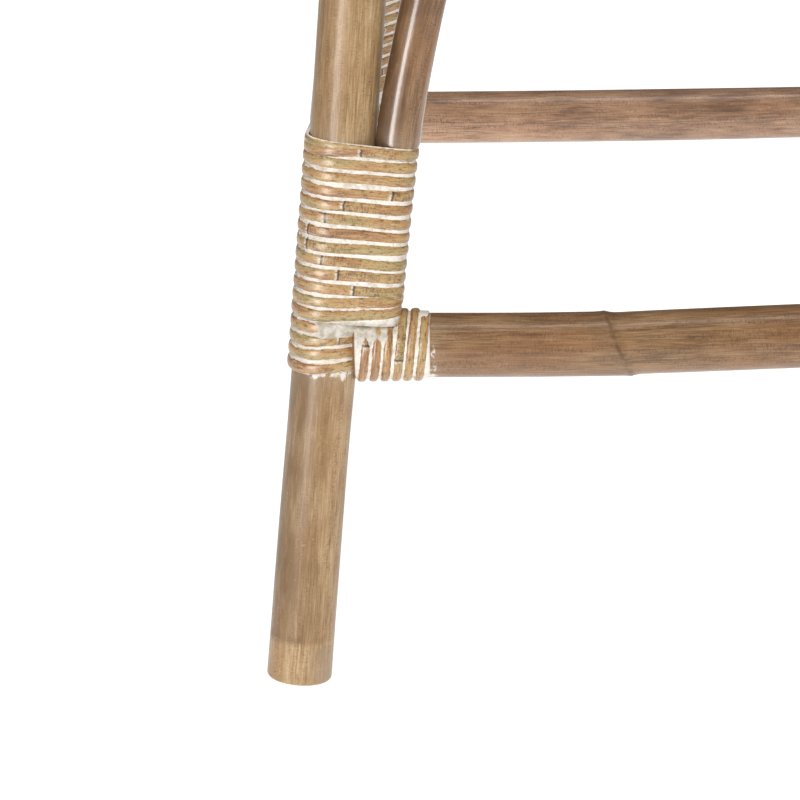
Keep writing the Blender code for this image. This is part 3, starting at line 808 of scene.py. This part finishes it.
def arch_radius(seed):
    """Thicker low down than at the top, shaved thin inside the lashing, with a slow natural change."""
    def radius(s):
        side = min(s, ARCH_REACH - s)
        swell = 0.75 * MM * math.exp(-side / 0.11)
        lashed = 2.2 * MM * float(ease(-side, -88 * MM, -80 * MM))
        return ARCH_RADIUS - 0.2 * MM + swell - lashed + 0.12 * MM * wave(s * 14, seed)

    return radius


def build_arches():
    for seed, face in enumerate(FACES):
        joints = [(0.235 + 0.03 * seed, 1.2 * MM, seed), (0.62 + 0.04 * seed, 1.0 * MM, seed + 2)]
        path = turn(ARCH_PATH, face)
        side = turn(FRONT, face)
        piece = pole(
            f"arch_cane_{face}", path, arch_radius(seed + 20), ARCH_CANE, joints,
            wash=[(0.09, 5 * MM, 0.5, 0.0)], start_side=side, seed=seed + 2, shade_and_stain=left_stain_and_shade,
        )
        stand_in(piece, "arch_pole", f"arch_{face}")


# Legs


def leg_bow(height, seed):
    """A natural pole isn't straight: a small sideways wander, none at its ends."""
    hold = math.sin(math.pi * min(max(height / LEG_TOP_Z, 0.0), 1.0))
    return 0.8 * MM * hold * math.sin(height * 16.0 + seed)


def build_legs():
    drop = LEG_RADIUS * math.hypot(LEAN, LEAN)
    foot = leg_point(drop - 1.2 * MM)
    top = leg_point(LEG_TOP_Z - 3.4 * MM)
    steps = np.linspace(0, 1, 240)[:, None]
    straight = foot * (1 - steps) + top * steps
    for seed, corner in enumerate(CORNERS):
        path = straight.copy()
        for row in path:
            row[0] += leg_bow(row[2], 4.1 + seed)
            row[1] += leg_bow(row[2], 1.0 + 2 * seed)
        path = mirror(path, corner)

        def radius(s, seed=seed):
            flare = 0.30 * MM * math.exp(-s / 0.03)
            slim = 0.35 * MM * math.exp(-(((s - 0.13) / 0.05) ** 2))
            return LEG_RADIUS - 0.1 * MM + flare - slim + 0.12 * MM * wave(s * 9, seed + 40)

        joints = [(0.385 + 0.022 * seed, 1.6 * MM, seed), (0.60 - 0.014 * seed, 1.4 * MM, seed + 2)]
        wash = [(KNOT_BOTTOM_REACH, -7 * MM, 0.78, 0.6), (KNOT_TOP_REACH, 3 * MM, 0.42, 0.0)]
        piece = pole(
            f"leg_cane_{corner}", path, radius, LEG_CANE, joints, wash, seed=seed, foot=2.2 * MM,
            shade_and_stain=left_stain_and_shade,
        )
        stand_in(piece, "leg_pole", f"leg_{corner}")


# Straight poles between the legs


# The front footrest's growth node is this far from the left leg's axis, and past it the pole rises
FRONT_NODE = 0.147
FRONT_RISE = 0.028
NODE_PLACES = {"right": 0.27, "back": 0.10, "left": 0.31}
FOOTREST_INSET = 0.85 * LEG_RADIUS


def footrest_path(face):
    """The front pole kinks a little at its growth node; the others bow a little."""
    reach = FOOTREST_HALF - FOOTREST_INSET
    xs = np.linspace(-reach, reach, 180)
    if face == "front":
        node_x = FRONT_NODE - FOOTREST_HALF
        rise = -1.1 * MM * ease(xs, -reach, node_x - 0.03) + FRONT_RISE * np.clip(xs - node_x, 0, None)
        rise = rise * ease(-xs, -reach, -reach + 0.2)
    else:
        rise = 0.6 * MM * np.sin((xs + reach) / reach * 2.3 + FACES.index(face))
    points = np.stack([xs, np.full(len(xs), -FOOTREST_HALF), FOOTREST_Z + rise], axis=1)
    return turn(points, face)


def collar_tip(face):
    """The lashings were wound by hand, so the front ones run a little further out."""
    return COLLAR_TIP - (0.0 if face == "front" else 5.5 * MM)


def build_footrests():
    places = {"front": FRONT_NODE - FOOTREST_INSET, **NODE_PLACES}
    for seed, face in enumerate(FACES):
        joints = [(places[face], 6.7 * MM if face == "front" else 2.5 * MM, math.pi / 2)]

        def radius(s, seed=seed):
            return FOOTREST_RADIUS - 0.1 * MM + 0.15 * MM * wave(s * 11, seed + 60)

        ends = collar_tip(face) - FOOTREST_INSET
        whole = 2 * (FOOTREST_HALF - FOOTREST_INSET)
        lean = 1.2 if face == "front" else 4.0
        wash = [(ends, 4.5 * MM, 0.84, lean), (whole - ends, -4.5 * MM, 0.80, lean)]
        side = turn(FRONT, face)
        # The back footrest gets the paler red cane, partly painted light, and painted shade toward its
        # right end.
        cane, shade_and_stain = (RED_LIT_CANE, far_end_shade) if face == "back" else (FOOTREST_CANE, None)
        piece = pole(
            f"footrest_cane_{face}", footrest_path(face), radius, cane, joints, wash,
            start_side=side, seed=seed + 5, shade_and_stain=shade_and_stain,
        )
        stand_in(piece, "footrest_pole", f"footrest_{face}")


def thin_pole(name, node, ends, radius, joint, start_side, seed, wander):
    """A straight pole under the seat, with one growth node."""
    path = resampled(ends, np.linspace(0, along(ends)[-1], 60))
    piece = pole(
        name, path, lambda s: radius - 0.1 * MM + 0.1 * MM * wave(s * 12, wander), SEAT_CANE,
        [joint], start_side=start_side, seed=seed,
    )
    stand_in(piece, "seat_pole", node)


def build_rails():
    reach = RAIL_HALF - 0.35 * LEG_RADIUS
    rail = np.array([[-reach, -RAIL_HALF, RAIL_Z], [reach, -RAIL_HALF, RAIL_Z]])
    for seed, face in enumerate(FACES):
        joint = (0.08 + 0.05 * seed, 1.5 * MM, seed)
        thin_pole(f"rail_cane_{face}", f"rail_{face}", turn(rail, face), RAIL_RADIUS, joint,
                  turn(FRONT, face), seed + 11, seed + 80)
    for seed, side in enumerate(("left", "right")):
        node = f"cross_pole_{side}"
        ends = np.array([middle(node), middle(node)])
        ends[:, 1] = (-CROSS_HALF, CROSS_HALF)
        joint = (0.11 + 0.07 * seed, 1.0 * MM, seed)
        thin_pole(f"cross_cane_{side}", node, ends, CROSS_RADIUS, joint, RIGHT, seed + 17, seed + 90)


# Lashings at the footrest

LEFT_ARCH = ARCH_PATH[ARCH_PATH[:, 0] < 0]
# How high a strip's crown stands over what it is wound on
CREST = STRIP - 0.3 * MM
KNOT_PITCH = 6.96 * MM
KNOT_TURNS = 16.9
COLLAR_TURNS = 7
# The level where the lashing widens from the leg alone to the leg and both arches
KNOT_STEP = 16.5 * MM
KNOT_TILT = (LEG_RADIUS + STRIP) * math.sqrt(2) * LEG_AXIS[0]
KNOT_TOP = (KNOT_HIGH[2] - FOOTREST_Z - KNOT_TILT) / LEG_AXIS[2]
KNOT_BOTTOM_REACH = FOOTREST_Z / LEG_AXIS[2] + KNOT_BOTTOM - 1 * MM
KNOT_TOP_REACH = FOOTREST_Z / LEG_AXIS[2] + KNOT_TOP


def arch_disc(level, swapped):
    """An arch's place across the leg at a level along the leg, low in its bend."""
    path = LEFT_ARCH[:, [1, 0, 2]] if swapped else LEFT_ARCH
    away = path - JOINT
    levels = away @ LEG_AXIS
    low = levels < 0.2
    x = np.interp(level, levels[low], (away @ LEG_X)[low])
    y = np.interp(level, levels[low], (away @ LEG_Y)[low])
    return x, y


def knot_discs(level):
    """What the lashing goes round: the leg, and above the footrest poles its two arches."""
    leg = (0.0, 0.0, LEG_RADIUS + 0.3 * MM)
    if level < KNOT_STEP:
        return [leg]
    pull = 0.885 + 0.045 * level / KNOT_TOP
    sides = [arch_disc(level, swapped) for swapped in (False, True)]
    sides[1] = (sides[1][0] * 0.75, sides[1][1])
    return [leg] + [(x * pull, y * pull, ARCH_RADIUS + 0.4 * MM) for x, y in sides]


def knot_lift(level, share):
    """The lowest wide turns ride up over the footrest poles on their inner side, and the top turn sags
    on its outer side."""
    inner = float(ease(share, 0.40, 0.66))
    squeeze = float(
        ease(level, KNOT_STEP - 3 * MM, KNOT_STEP) * ease(-level, -KNOT_STEP - 22 * MM, -KNOT_STEP)
    )
    low = float(ease(-level, -KNOT_STEP + 3 * MM, -KNOT_STEP + 6 * MM))
    crown = float(ease(level, KNOT_TOP - 9 * MM, KNOT_TOP - 2 * MM) * ease(-share, -0.48, -0.30))
    return (5.0 * squeeze + 3.0 * low) * MM * inner - 1.6 * MM * crown


def straight_run(start, first, second, axis, move):
    """place(level) for a lashing along a straight axis, each part moved to another corner or face."""
    def place(level):
        return tuple(move(part) for part in (start + axis * level, first, second, axis))

    return place


def knot_place(corner):
    return straight_run(JOINT, LEG_X, LEG_Y, LEG_AXIS, lambda part: mirror(part, corner))


def knot_marks(seed):
    """Scars drift round the lashing, because the strip's nodes come a little sooner than each turn."""
    def marks(number):
        spots = []
        if 4 <= number <= 10:
            spots.append(0.30 + 0.05 * abs(number - 6.5) + 0.18 * seed)
        if number == 0:
            spots.append(0.46 + 0.1 * seed)
        if number in (3, 14):
            spots.append(0.56 - 0.09 * seed)
        if number % 4 == 1:
            spots.append(0.80 + 0.1 * wave(number * 3.7, seed))
        return spots

    return marks


def knot_wash(level, share):
    """Thin at the outer side, thicker where strips bridge from leg to arch, with a bare dark seam
    low down, and a heap in the corner over the footrest pole."""
    outer = float(ease(share, 0.26, 0.38))
    wide = float(ease(level, KNOT_STEP - 1 * MM, KNOT_STEP + 2 * MM))
    above = level - KNOT_STEP
    bare = float(
        ease(above, 3 * MM, 6 * MM) * ease(-above, -12 * MM, -9 * MM)
        * ease(share, 0.38, 0.42) * ease(-share, -0.55, -0.50)
    )
    heap = float(ease(share, 0.42, 0.47) * ease(level, 3 * MM, 11 * MM)) * (1 - wide)
    lump = 0.6 * heap * wave(level * 260, share * 40)
    spread = 0.85 * outer * (0.15 + 0.85 * wide)
    return (0.10 + 0.15 * wide + spread - 0.7 * bare + 1.9 * heap + lump) * MM


def collar_place(face, across):
    """Along the left end of the front footrest pole, moved to another pole or its other end."""
    flip = np.array([across, 1.0, 1.0])
    start = np.array([-FOOTREST_HALF, -FOOTREST_HALF, FOOTREST_Z]) * flip
    return straight_run(start, FRONT, UP, RIGHT * flip, lambda part: turn(part, face))


def collar_wash(level, share):
    """Wash lies thickest on the upper front near the leg, where the lashings meet."""
    ragged = share + 0.035 * wave(level * 520) + 0.012 * wave(level * 2100)
    front = float(ease(ragged, 0.78, 0.84) * ease(-share, -1.03, -0.97))
    near = float(ease(-level, -40 * MM, -27 * MM))
    low = float(ease(share, 0.55, 0.75))
    lump = 0.6 * front * wave(level * 230, share * 26)
    return (0.45 + 0.45 * low + 1.1 * front * near + lump) * MM


def build_knots():
    top = KNOT_TOP + 0.1 * MM
    for seed, corner in enumerate(CORNERS):
        place = knot_place(corner)
        strip = wound_strip(
            f"knot_strip_{corner}", place, knot_discs, top, top - KNOT_TURNS * KNOT_PITCH, KNOT_PITCH,
            0.90 * KNOT_PITCH, CREST, PEEL, seed=1.7 * seed, marks=knot_marks(seed), drift=0.8,
            steady=0.9, front=0.41, lift=knot_lift,
        )
        tail = wound_strip(
            f"knot_tail_{corner}", place, knot_discs, top + 0.2 * MM, top - 5.0 * MM, 4.6 * MM,
            4.2 * MM, CREST - 0.1 * MM, PEEL, seed=7 + seed, steady=0.0,
        )
        bed = wash_bed(
            f"knot_wash_{corner}", place, knot_discs, top - 1.9 * MM, KNOT_BOTTOM + 1 * MM, knot_wash,
            SEAM_WASH, seed, skew=-KNOT_PITCH,
        )
        piece = joined(f"knot_lashing_{corner}", [strip, tail, bed])
        stand_in(piece, "lashing", f"knot_{corner}")


def build_collars():
    pole_disc = [(0.0, 0.0, FOOTREST_RADIUS + 0.2 * MM)]
    start = COLLAR_START - 8 * MM
    for seed, face in enumerate(FACES):
        tip = collar_tip(face)
        pitch = (tip - start) / COLLAR_TURNS
        for end, across in (("start", 1), ("end", -1)):
            place = collar_place(face, across)
            strip = wound_strip(
                f"collar_strip_{face}_{end}", place, lambda level: pole_disc, start + pitch * 0.5,
                tip - pitch * 0.5, pitch, 0.88 * pitch, COLLAR_STRIP, PEEL,
                seed=31 + 2.3 * seed + across, marks=lambda number: [(0.8 + 0.31 * number) % 1.0],
                drift=0.5, steady=-1.1, front=0.75,
            )
            bed = wash_bed(
                f"collar_wash_{face}_{end}", place, lambda level: pole_disc, start + 1 * MM,
                tip + 0.5 * MM, collar_wash, SEAM_WASH, seed + 50, fine=1.2 * MM,
            )
            piece = joined(f"collar_lashing_{face}_{end}", [strip, bed])
            stand_in(piece, "lashing", f"collar_{face}_{end}")


# Lashings at the seat


def wrap(name, place, discs, start, stop, pitch, seed):
    """A strip and its wash, as two meshes to join."""
    strip = wound_strip(
        f"{name}_strip", place, discs, start + pitch * 0.4, stop - pitch * 0.4, pitch, 0.82 * pitch,
        CREST, PEEL, seed=seed, marks=lambda number: [(0.3 + 0.27 * number + 0.1 * seed) % 1.0],
    )
    bed = wash_bed(
        f"{name}_wash", place, discs, start + 2 * MM, stop - 2 * MM, lambda level, share: 0.9 * MM,
        SEAM_WASH, seed, fine=2.5 * MM,
    )
    return [strip, bed]


def build_top_knots():
    low = (TOP_KNOT_LOW[2] + 2.5 * MM - FOOTREST_Z) / LEG_AXIS[2]
    high = (LEG_TOP_Z - 4.5 * MM - FOOTREST_Z) / LEG_AXIS[2]
    leg_disc = [(0.0, 0.0, LEG_RADIUS + 0.3 * MM)]
    rail_disc = [(0.0, 0.0, RAIL_RADIUS + 0.3 * MM)]
    start = np.array([-RAIL_HALF, -RAIL_HALF, RAIL_Z])
    end = TOP_KNOT_HIGH[0] + RAIL_HALF
    for seed, corner in enumerate(CORNERS):
        pieces = wrap(f"top_{corner}", knot_place(corner), lambda level: leg_disc, low, high,
                      6.6 * MM, 70 + seed)
        for way, order in (("x", [0, 1, 2]), ("y", [1, 0, 2])):
            place = straight_run(
                start, FRONT, UP, RIGHT,
                lambda part, order=order, corner=corner: mirror(part[order], corner),
            )
            pieces += wrap(f"top_{way}_{corner}", place, lambda level: rail_disc, 14 * MM, end,
                           6.0 * MM, 80 + seed)
        stand_in(joined(f"top_lashing_{corner}", pieces), "lashing", f"top_knot_{corner}")


def apex_discs(level):
    """The seat rail and the top of the arch under it."""
    near = np.abs(ARCH_PATH[:, 0] - level).argmin()
    y = ARCH_PATH[near, 1] + RAIL_HALF
    z = ARCH_PATH[near, 2] - RAIL_Z
    return [(0.0, 0.0, RAIL_RADIUS + 0.3 * MM), (y, z, ARCH_RADIUS + 0.3 * MM)]


def build_apex_knots():
    start = np.array([0.0, -RAIL_HALF, RAIL_Z])
    for seed, face in enumerate(FACES):
        place = straight_run(start, BACK, UP, RIGHT, lambda part, face=face: turn(part, face))
        pieces = wrap(f"apex_{face}", place, apex_discs, APEX_LOW[0], APEX_HIGH[0], 6.3 * MM, 95 + seed)
        stand_in(joined(f"apex_lashing_{face}", pieces), "lashing", f"apex_knot_{face}")


# Seat


RIM_PITCH = 6.4 * MM
RIM_STRIP = 1.9 * MM
# Strands of the weave each way, and how far inside the hoop's centre line they end
STRANDS = 52
STRAND_INSET = 5 * MM
# A strand's section: how far to the side in shares of its half width, and how high in shares of its dome
STRAND_SIDES = np.array([-1.0, -0.8, -0.3, 0.3, 0.8, 1.0, 0.9, -0.9])
STRAND_HEIGHTS = np.array([0.0, 0.5, 0.9, 0.9, 0.5, 0.0, -0.3, -0.3])
STRAND_DOME = 0.9 * MM
STRAND_WAVE = 0.75 * MM


def hoop_loop(spacing):
    """Points round the hoop's rounded square, with their outward directions."""
    straight = HOOP_HALF - HOOP_CORNER
    points = []
    outs = []
    for quarter in range(4):
        spin = math.pi / 2 * quarter
        diagonal = spin + math.pi / 4
        centre = np.array([math.cos(diagonal), math.sin(diagonal)]) * straight * math.sqrt(2)
        steps = int(HOOP_CORNER * math.pi / 2 / spacing)
        for step in range(steps + 1):
            angle = spin + math.pi / 2 * step / steps
            out = np.array([math.cos(angle), math.sin(angle)])
            points.append(centre + out * HOOP_CORNER)
            outs.append(out)
        runs = int(2 * straight / spacing)
        forward = np.array([-math.sin(spin + math.pi / 2), math.cos(spin + math.pi / 2)])
        last = points[-1]
        for step in range(1, runs):
            points.append(last + forward * 2 * straight * step / runs)
            outs.append(out)
    return np.array(points), np.array(outs)


def build_rim():
    points, outs = hoop_loop(3 * MM)
    closed = np.vstack([points, points[:1]])
    closed_outs = np.vstack([outs, outs[:1]])
    reach = along(closed)

    def place(level):
        level = level % reach[-1]
        x, y = (np.interp(level, reach, closed[:, axis]) for axis in range(2))
        out = np.array([np.interp(level, reach, closed_outs[:, axis]) for axis in range(2)])
        out /= np.linalg.norm(out)
        first = np.array([out[0], out[1], 0.0])
        return np.array([x, y, HOOP[2]]), first, UP, np.cross(UP, first)

    disc = [(0.0, 0.0, HOOP_RADIUS + 1.4 * MM)]
    turns = round(reach[-1] / RIM_PITCH)
    strip = wound_strip(
        "rim_strip", place, lambda level: disc, 0.0, reach[-1], reach[-1] / turns,
        RIM_PITCH - 0.2 * MM, RIM_STRIP, SEAT_PEEL, seed=120, fine=3.2 * MM,
    )
    angles = np.linspace(0, 2 * math.pi, 28, endpoint=False)
    level_outs = np.concatenate([outs, np.zeros((len(outs), 1))], 1)
    centres = np.concatenate([points, np.full((len(points), 1), HOOP[2])], 1)
    across = np.cos(angles)[None, :, None] * level_outs[:, None] + np.sin(angles)[None, :, None] * UP
    core = centres[:, None] + across * (HOOP_RADIUS + 1.2 * MM)
    spread = np.ones((len(points), len(angles)))
    grain = np.stack([spread * np.cos(angles) * HOOP_RADIUS, spread * np.sin(angles) * HOOP_RADIUS,
                      spread * reach[:-1, None]], axis=-1)
    values = {"grain": grain, "scar": spread, "paste": spread * 0, "shade_and_stain": spread * 0}
    hoop = grid_object("hoop_cane", core, SEAT_CANE, values, looped=True)
    stand_in(hoop, "seat_pole", "seat_hoop")
    return strip


def seat_edge(side):
    """How far the hoop's centre line reaches at a distance to the side of the seat's middle."""
    beyond = np.clip(np.abs(side) - (HOOP_HALF - HOOP_CORNER), 0, HOOP_CORNER)
    return HOOP_HALF - HOOP_CORNER + np.sqrt(HOOP_CORNER**2 - beyond**2)


def strand(way, number, step):
    """One strand of the weave, along X or along Y."""
    side = (number + 0.5 - STRANDS / 2) * step
    end = seat_edge(side) - STRAND_INSET
    runs = int(2 * end / (2.3 * MM))
    run = np.linspace(-end, end, runs)
    phase = 2 * math.pi * ((run / step + number + STRANDS / 2) / 4)
    over = np.clip(1.7 * np.sin(phase), -1, 1) * (1 if way == 0 else -1)
    rim = np.minimum(end - np.abs(run), seat_edge(run) - abs(side) - STRAND_INSET)
    dish = 3.2 * MM * ease(rim, 0.0, 0.10)
    tuck = 5.0 * MM * (1 - ease(rim, -2 * MM, 7 * MM))
    height = SEAT_TOP_Z - 2.9 * MM - dish - tuck + STRAND_WAVE * over
    half = step / 2 * 0.93
    grid = np.empty((runs, len(STRAND_HEIGHTS), 3))
    grid[:, :, way] = run[:, None]
    grid[:, :, 1 - way] = side + STRAND_SIDES[None, :] * half
    grid[:, :, 2] = height[:, None] + STRAND_HEIGHTS[None, :] * STRAND_DOME
    strip = np.empty(grid.shape)
    strip[:, :, 0] = run[:, None] + 7.7 * number + 3.1 * way
    strip[:, :, 1] = STRAND_SIDES[None, :]
    strip[:, :, 2] = number * 1.9 + 57 * way
    spot = 0.22 * wave(number * 5.3, way * 9.1)
    mark = np.repeat((run - spot)[:, None], len(STRAND_HEIGHTS), axis=1)
    values = {"strip": strip, "mark": mark}
    return grid_object(f"strand_{way}_{number}", grid, SEAT_PEEL, values)


def build_weave():
    """Strands cross two over, two under, and tuck in under the wrapped rim."""
    step = 2 * (HOOP_HALF - 4 * MM) / STRANDS
    return [strand(way, number, step) for way in (0, 1) for number in range(STRANDS)]


def build_seat():
    stand_in(joined("seat_woven", [build_rim()] + build_weave()), "woven_seat", "seat_weave")


# Studio


FLOOR_REACH = 6.0
# The middle of the floor in view, and how far from it the floor's own glow starts and stops fading
FLOOR_MIDDLE = (-0.16, 0.48, 0.0)
FLOOR_FADE = (0.95, 1.5)
FLOOR_GLOW = (0.98, 0.50)
LIGHT_AIM = Vector((-0.15, -0.15, 0.22))
WORLD_LIGHT = 0.07
CAMERA_PLACE = (-0.1654, -1.7209, 0.7006)
# Yaw, pitch down and roll, in degrees
CAMERA_ANGLES = (-0.521, 20.250, -1.025)
CAMERA_LENS = 143.13
CAMERA_SENSOR = 36


def build_floor():
    """A plain white floor, lit most around the stool so that it reads as pure white behind it."""
    mesh = bpy.data.meshes.new("floor")
    reach = FLOOR_REACH
    points = [(-reach, -reach, 0), (reach, -reach, 0), (reach, reach, 0), (-reach, reach, 0)]
    mesh.from_pydata(points, [], [(0, 1, 2, 3)])
    looks = Looks("floor_white")
    place = looks.node("ShaderNodeTexCoord").outputs["Object"]
    distance = looks.node("ShaderNodeVectorMath", place, FLOOR_MIDDLE, operation="DISTANCE")
    away = distance.outputs["Value"]
    looks.finish("Base Color", (0.35, 0.35, 0.35, 1))
    looks.finish("Roughness", 0.9)
    looks.finish("Emission Color", (1, 1, 1, 1))
    looks.finish("Emission Strength", looks.range(away, *FLOOR_FADE, *FLOOR_GLOW))
    mesh.materials.append(looks.material)
    floor = bpy.data.objects.new("floor", mesh)
    bpy.context.scene.collection.objects.link(floor)


def soft_light(name, azimuth, elevation, distance, width, height, power, fills=True, shines=True):
    """A rectangular softbox aimed at the footrest joint. Azimuth 0 is in front, plus is to the right.
    One that doesn't fill only draws a streak on lacquer; one that doesn't shine draws none."""
    spin = math.radians(azimuth)
    rise = math.radians(elevation)
    away = Vector((math.sin(spin) * math.cos(rise), -math.cos(spin) * math.cos(rise), math.sin(rise)))
    data = bpy.data.lights.new(name, "AREA")
    data.shape = "RECTANGLE"
    data.size = width
    data.size_y = height
    data.energy = power
    lamp = bpy.data.objects.new(name, data)
    lamp.visible_camera = False
    lamp.visible_diffuse = fills
    lamp.visible_glossy = shines
    lamp.location = LIGHT_AIM + away * distance
    lamp.rotation_euler = (-away).to_track_quat("-Z", "Y").to_euler()
    bpy.context.scene.collection.objects.link(lamp)


def build_lights():
    world = bpy.data.worlds.new("studio")
    world.use_nodes = True
    background = world.node_tree.nodes["Background"]
    background.inputs["Color"].default_value = (1, 1, 1, 1)
    background.inputs["Strength"].default_value = WORLD_LIGHT
    bpy.context.scene.world = world
    soft_light("left_streak", -36, 3, 0.65, 0.18, 0.40, 3.6, fills=False)
    soft_light("front_fill", -2, 34, 2.6, 0.7, 1.0, 48, shines=False)
    soft_light("right_softbox", 72, 24, 2.6, 0.7, 1.0, 2)
    soft_light("overhead_softbox", 180, 84, 2.3, 1.6, 1.0, 30)
    bpy.context.scene.view_settings.view_transform = "Standard"


def build_camera():
    """Looks down at the front left footrest joint, through a long lens."""
    data = bpy.data.cameras.new("camera")
    data.sensor_width = CAMERA_SENSOR
    data.lens = CAMERA_LENS
    data.clip_start = 0.05
    yaw, pitch, roll = (math.radians(angle) for angle in CAMERA_ANGLES)
    level = math.cos(pitch)
    forward = Vector((math.sin(yaw) * level, math.cos(yaw) * level, -math.sin(pitch)))
    right = Vector((math.cos(yaw), -math.sin(yaw), 0))
    up = right.cross(forward)
    rolled_right = right * math.cos(roll) + up * math.sin(roll)
    rolled_up = up * math.cos(roll) - right * math.sin(roll)
    facing = Matrix((rolled_right, rolled_up, -forward)).transposed()
    camera = bpy.data.objects.new("camera", data)
    camera.location = CAMERA_PLACE
    camera.rotation_euler = facing.to_euler()
    bpy.context.scene.collection.objects.link(camera)
    bpy.context.scene.camera = camera


def plate_screws():
    for name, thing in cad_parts.items():
        if name.startswith("screw_"):
            thing.data.materials.clear()
            thing.data.materials.append(PLATED_STEEL)


# Everything

build_camera()
build_lights()
build_floor()
build_arches()
build_legs()
build_footrests()
build_rails()
build_knots()
build_collars()
build_top_knots()
build_apex_knots()
build_seat()
plate_screws()
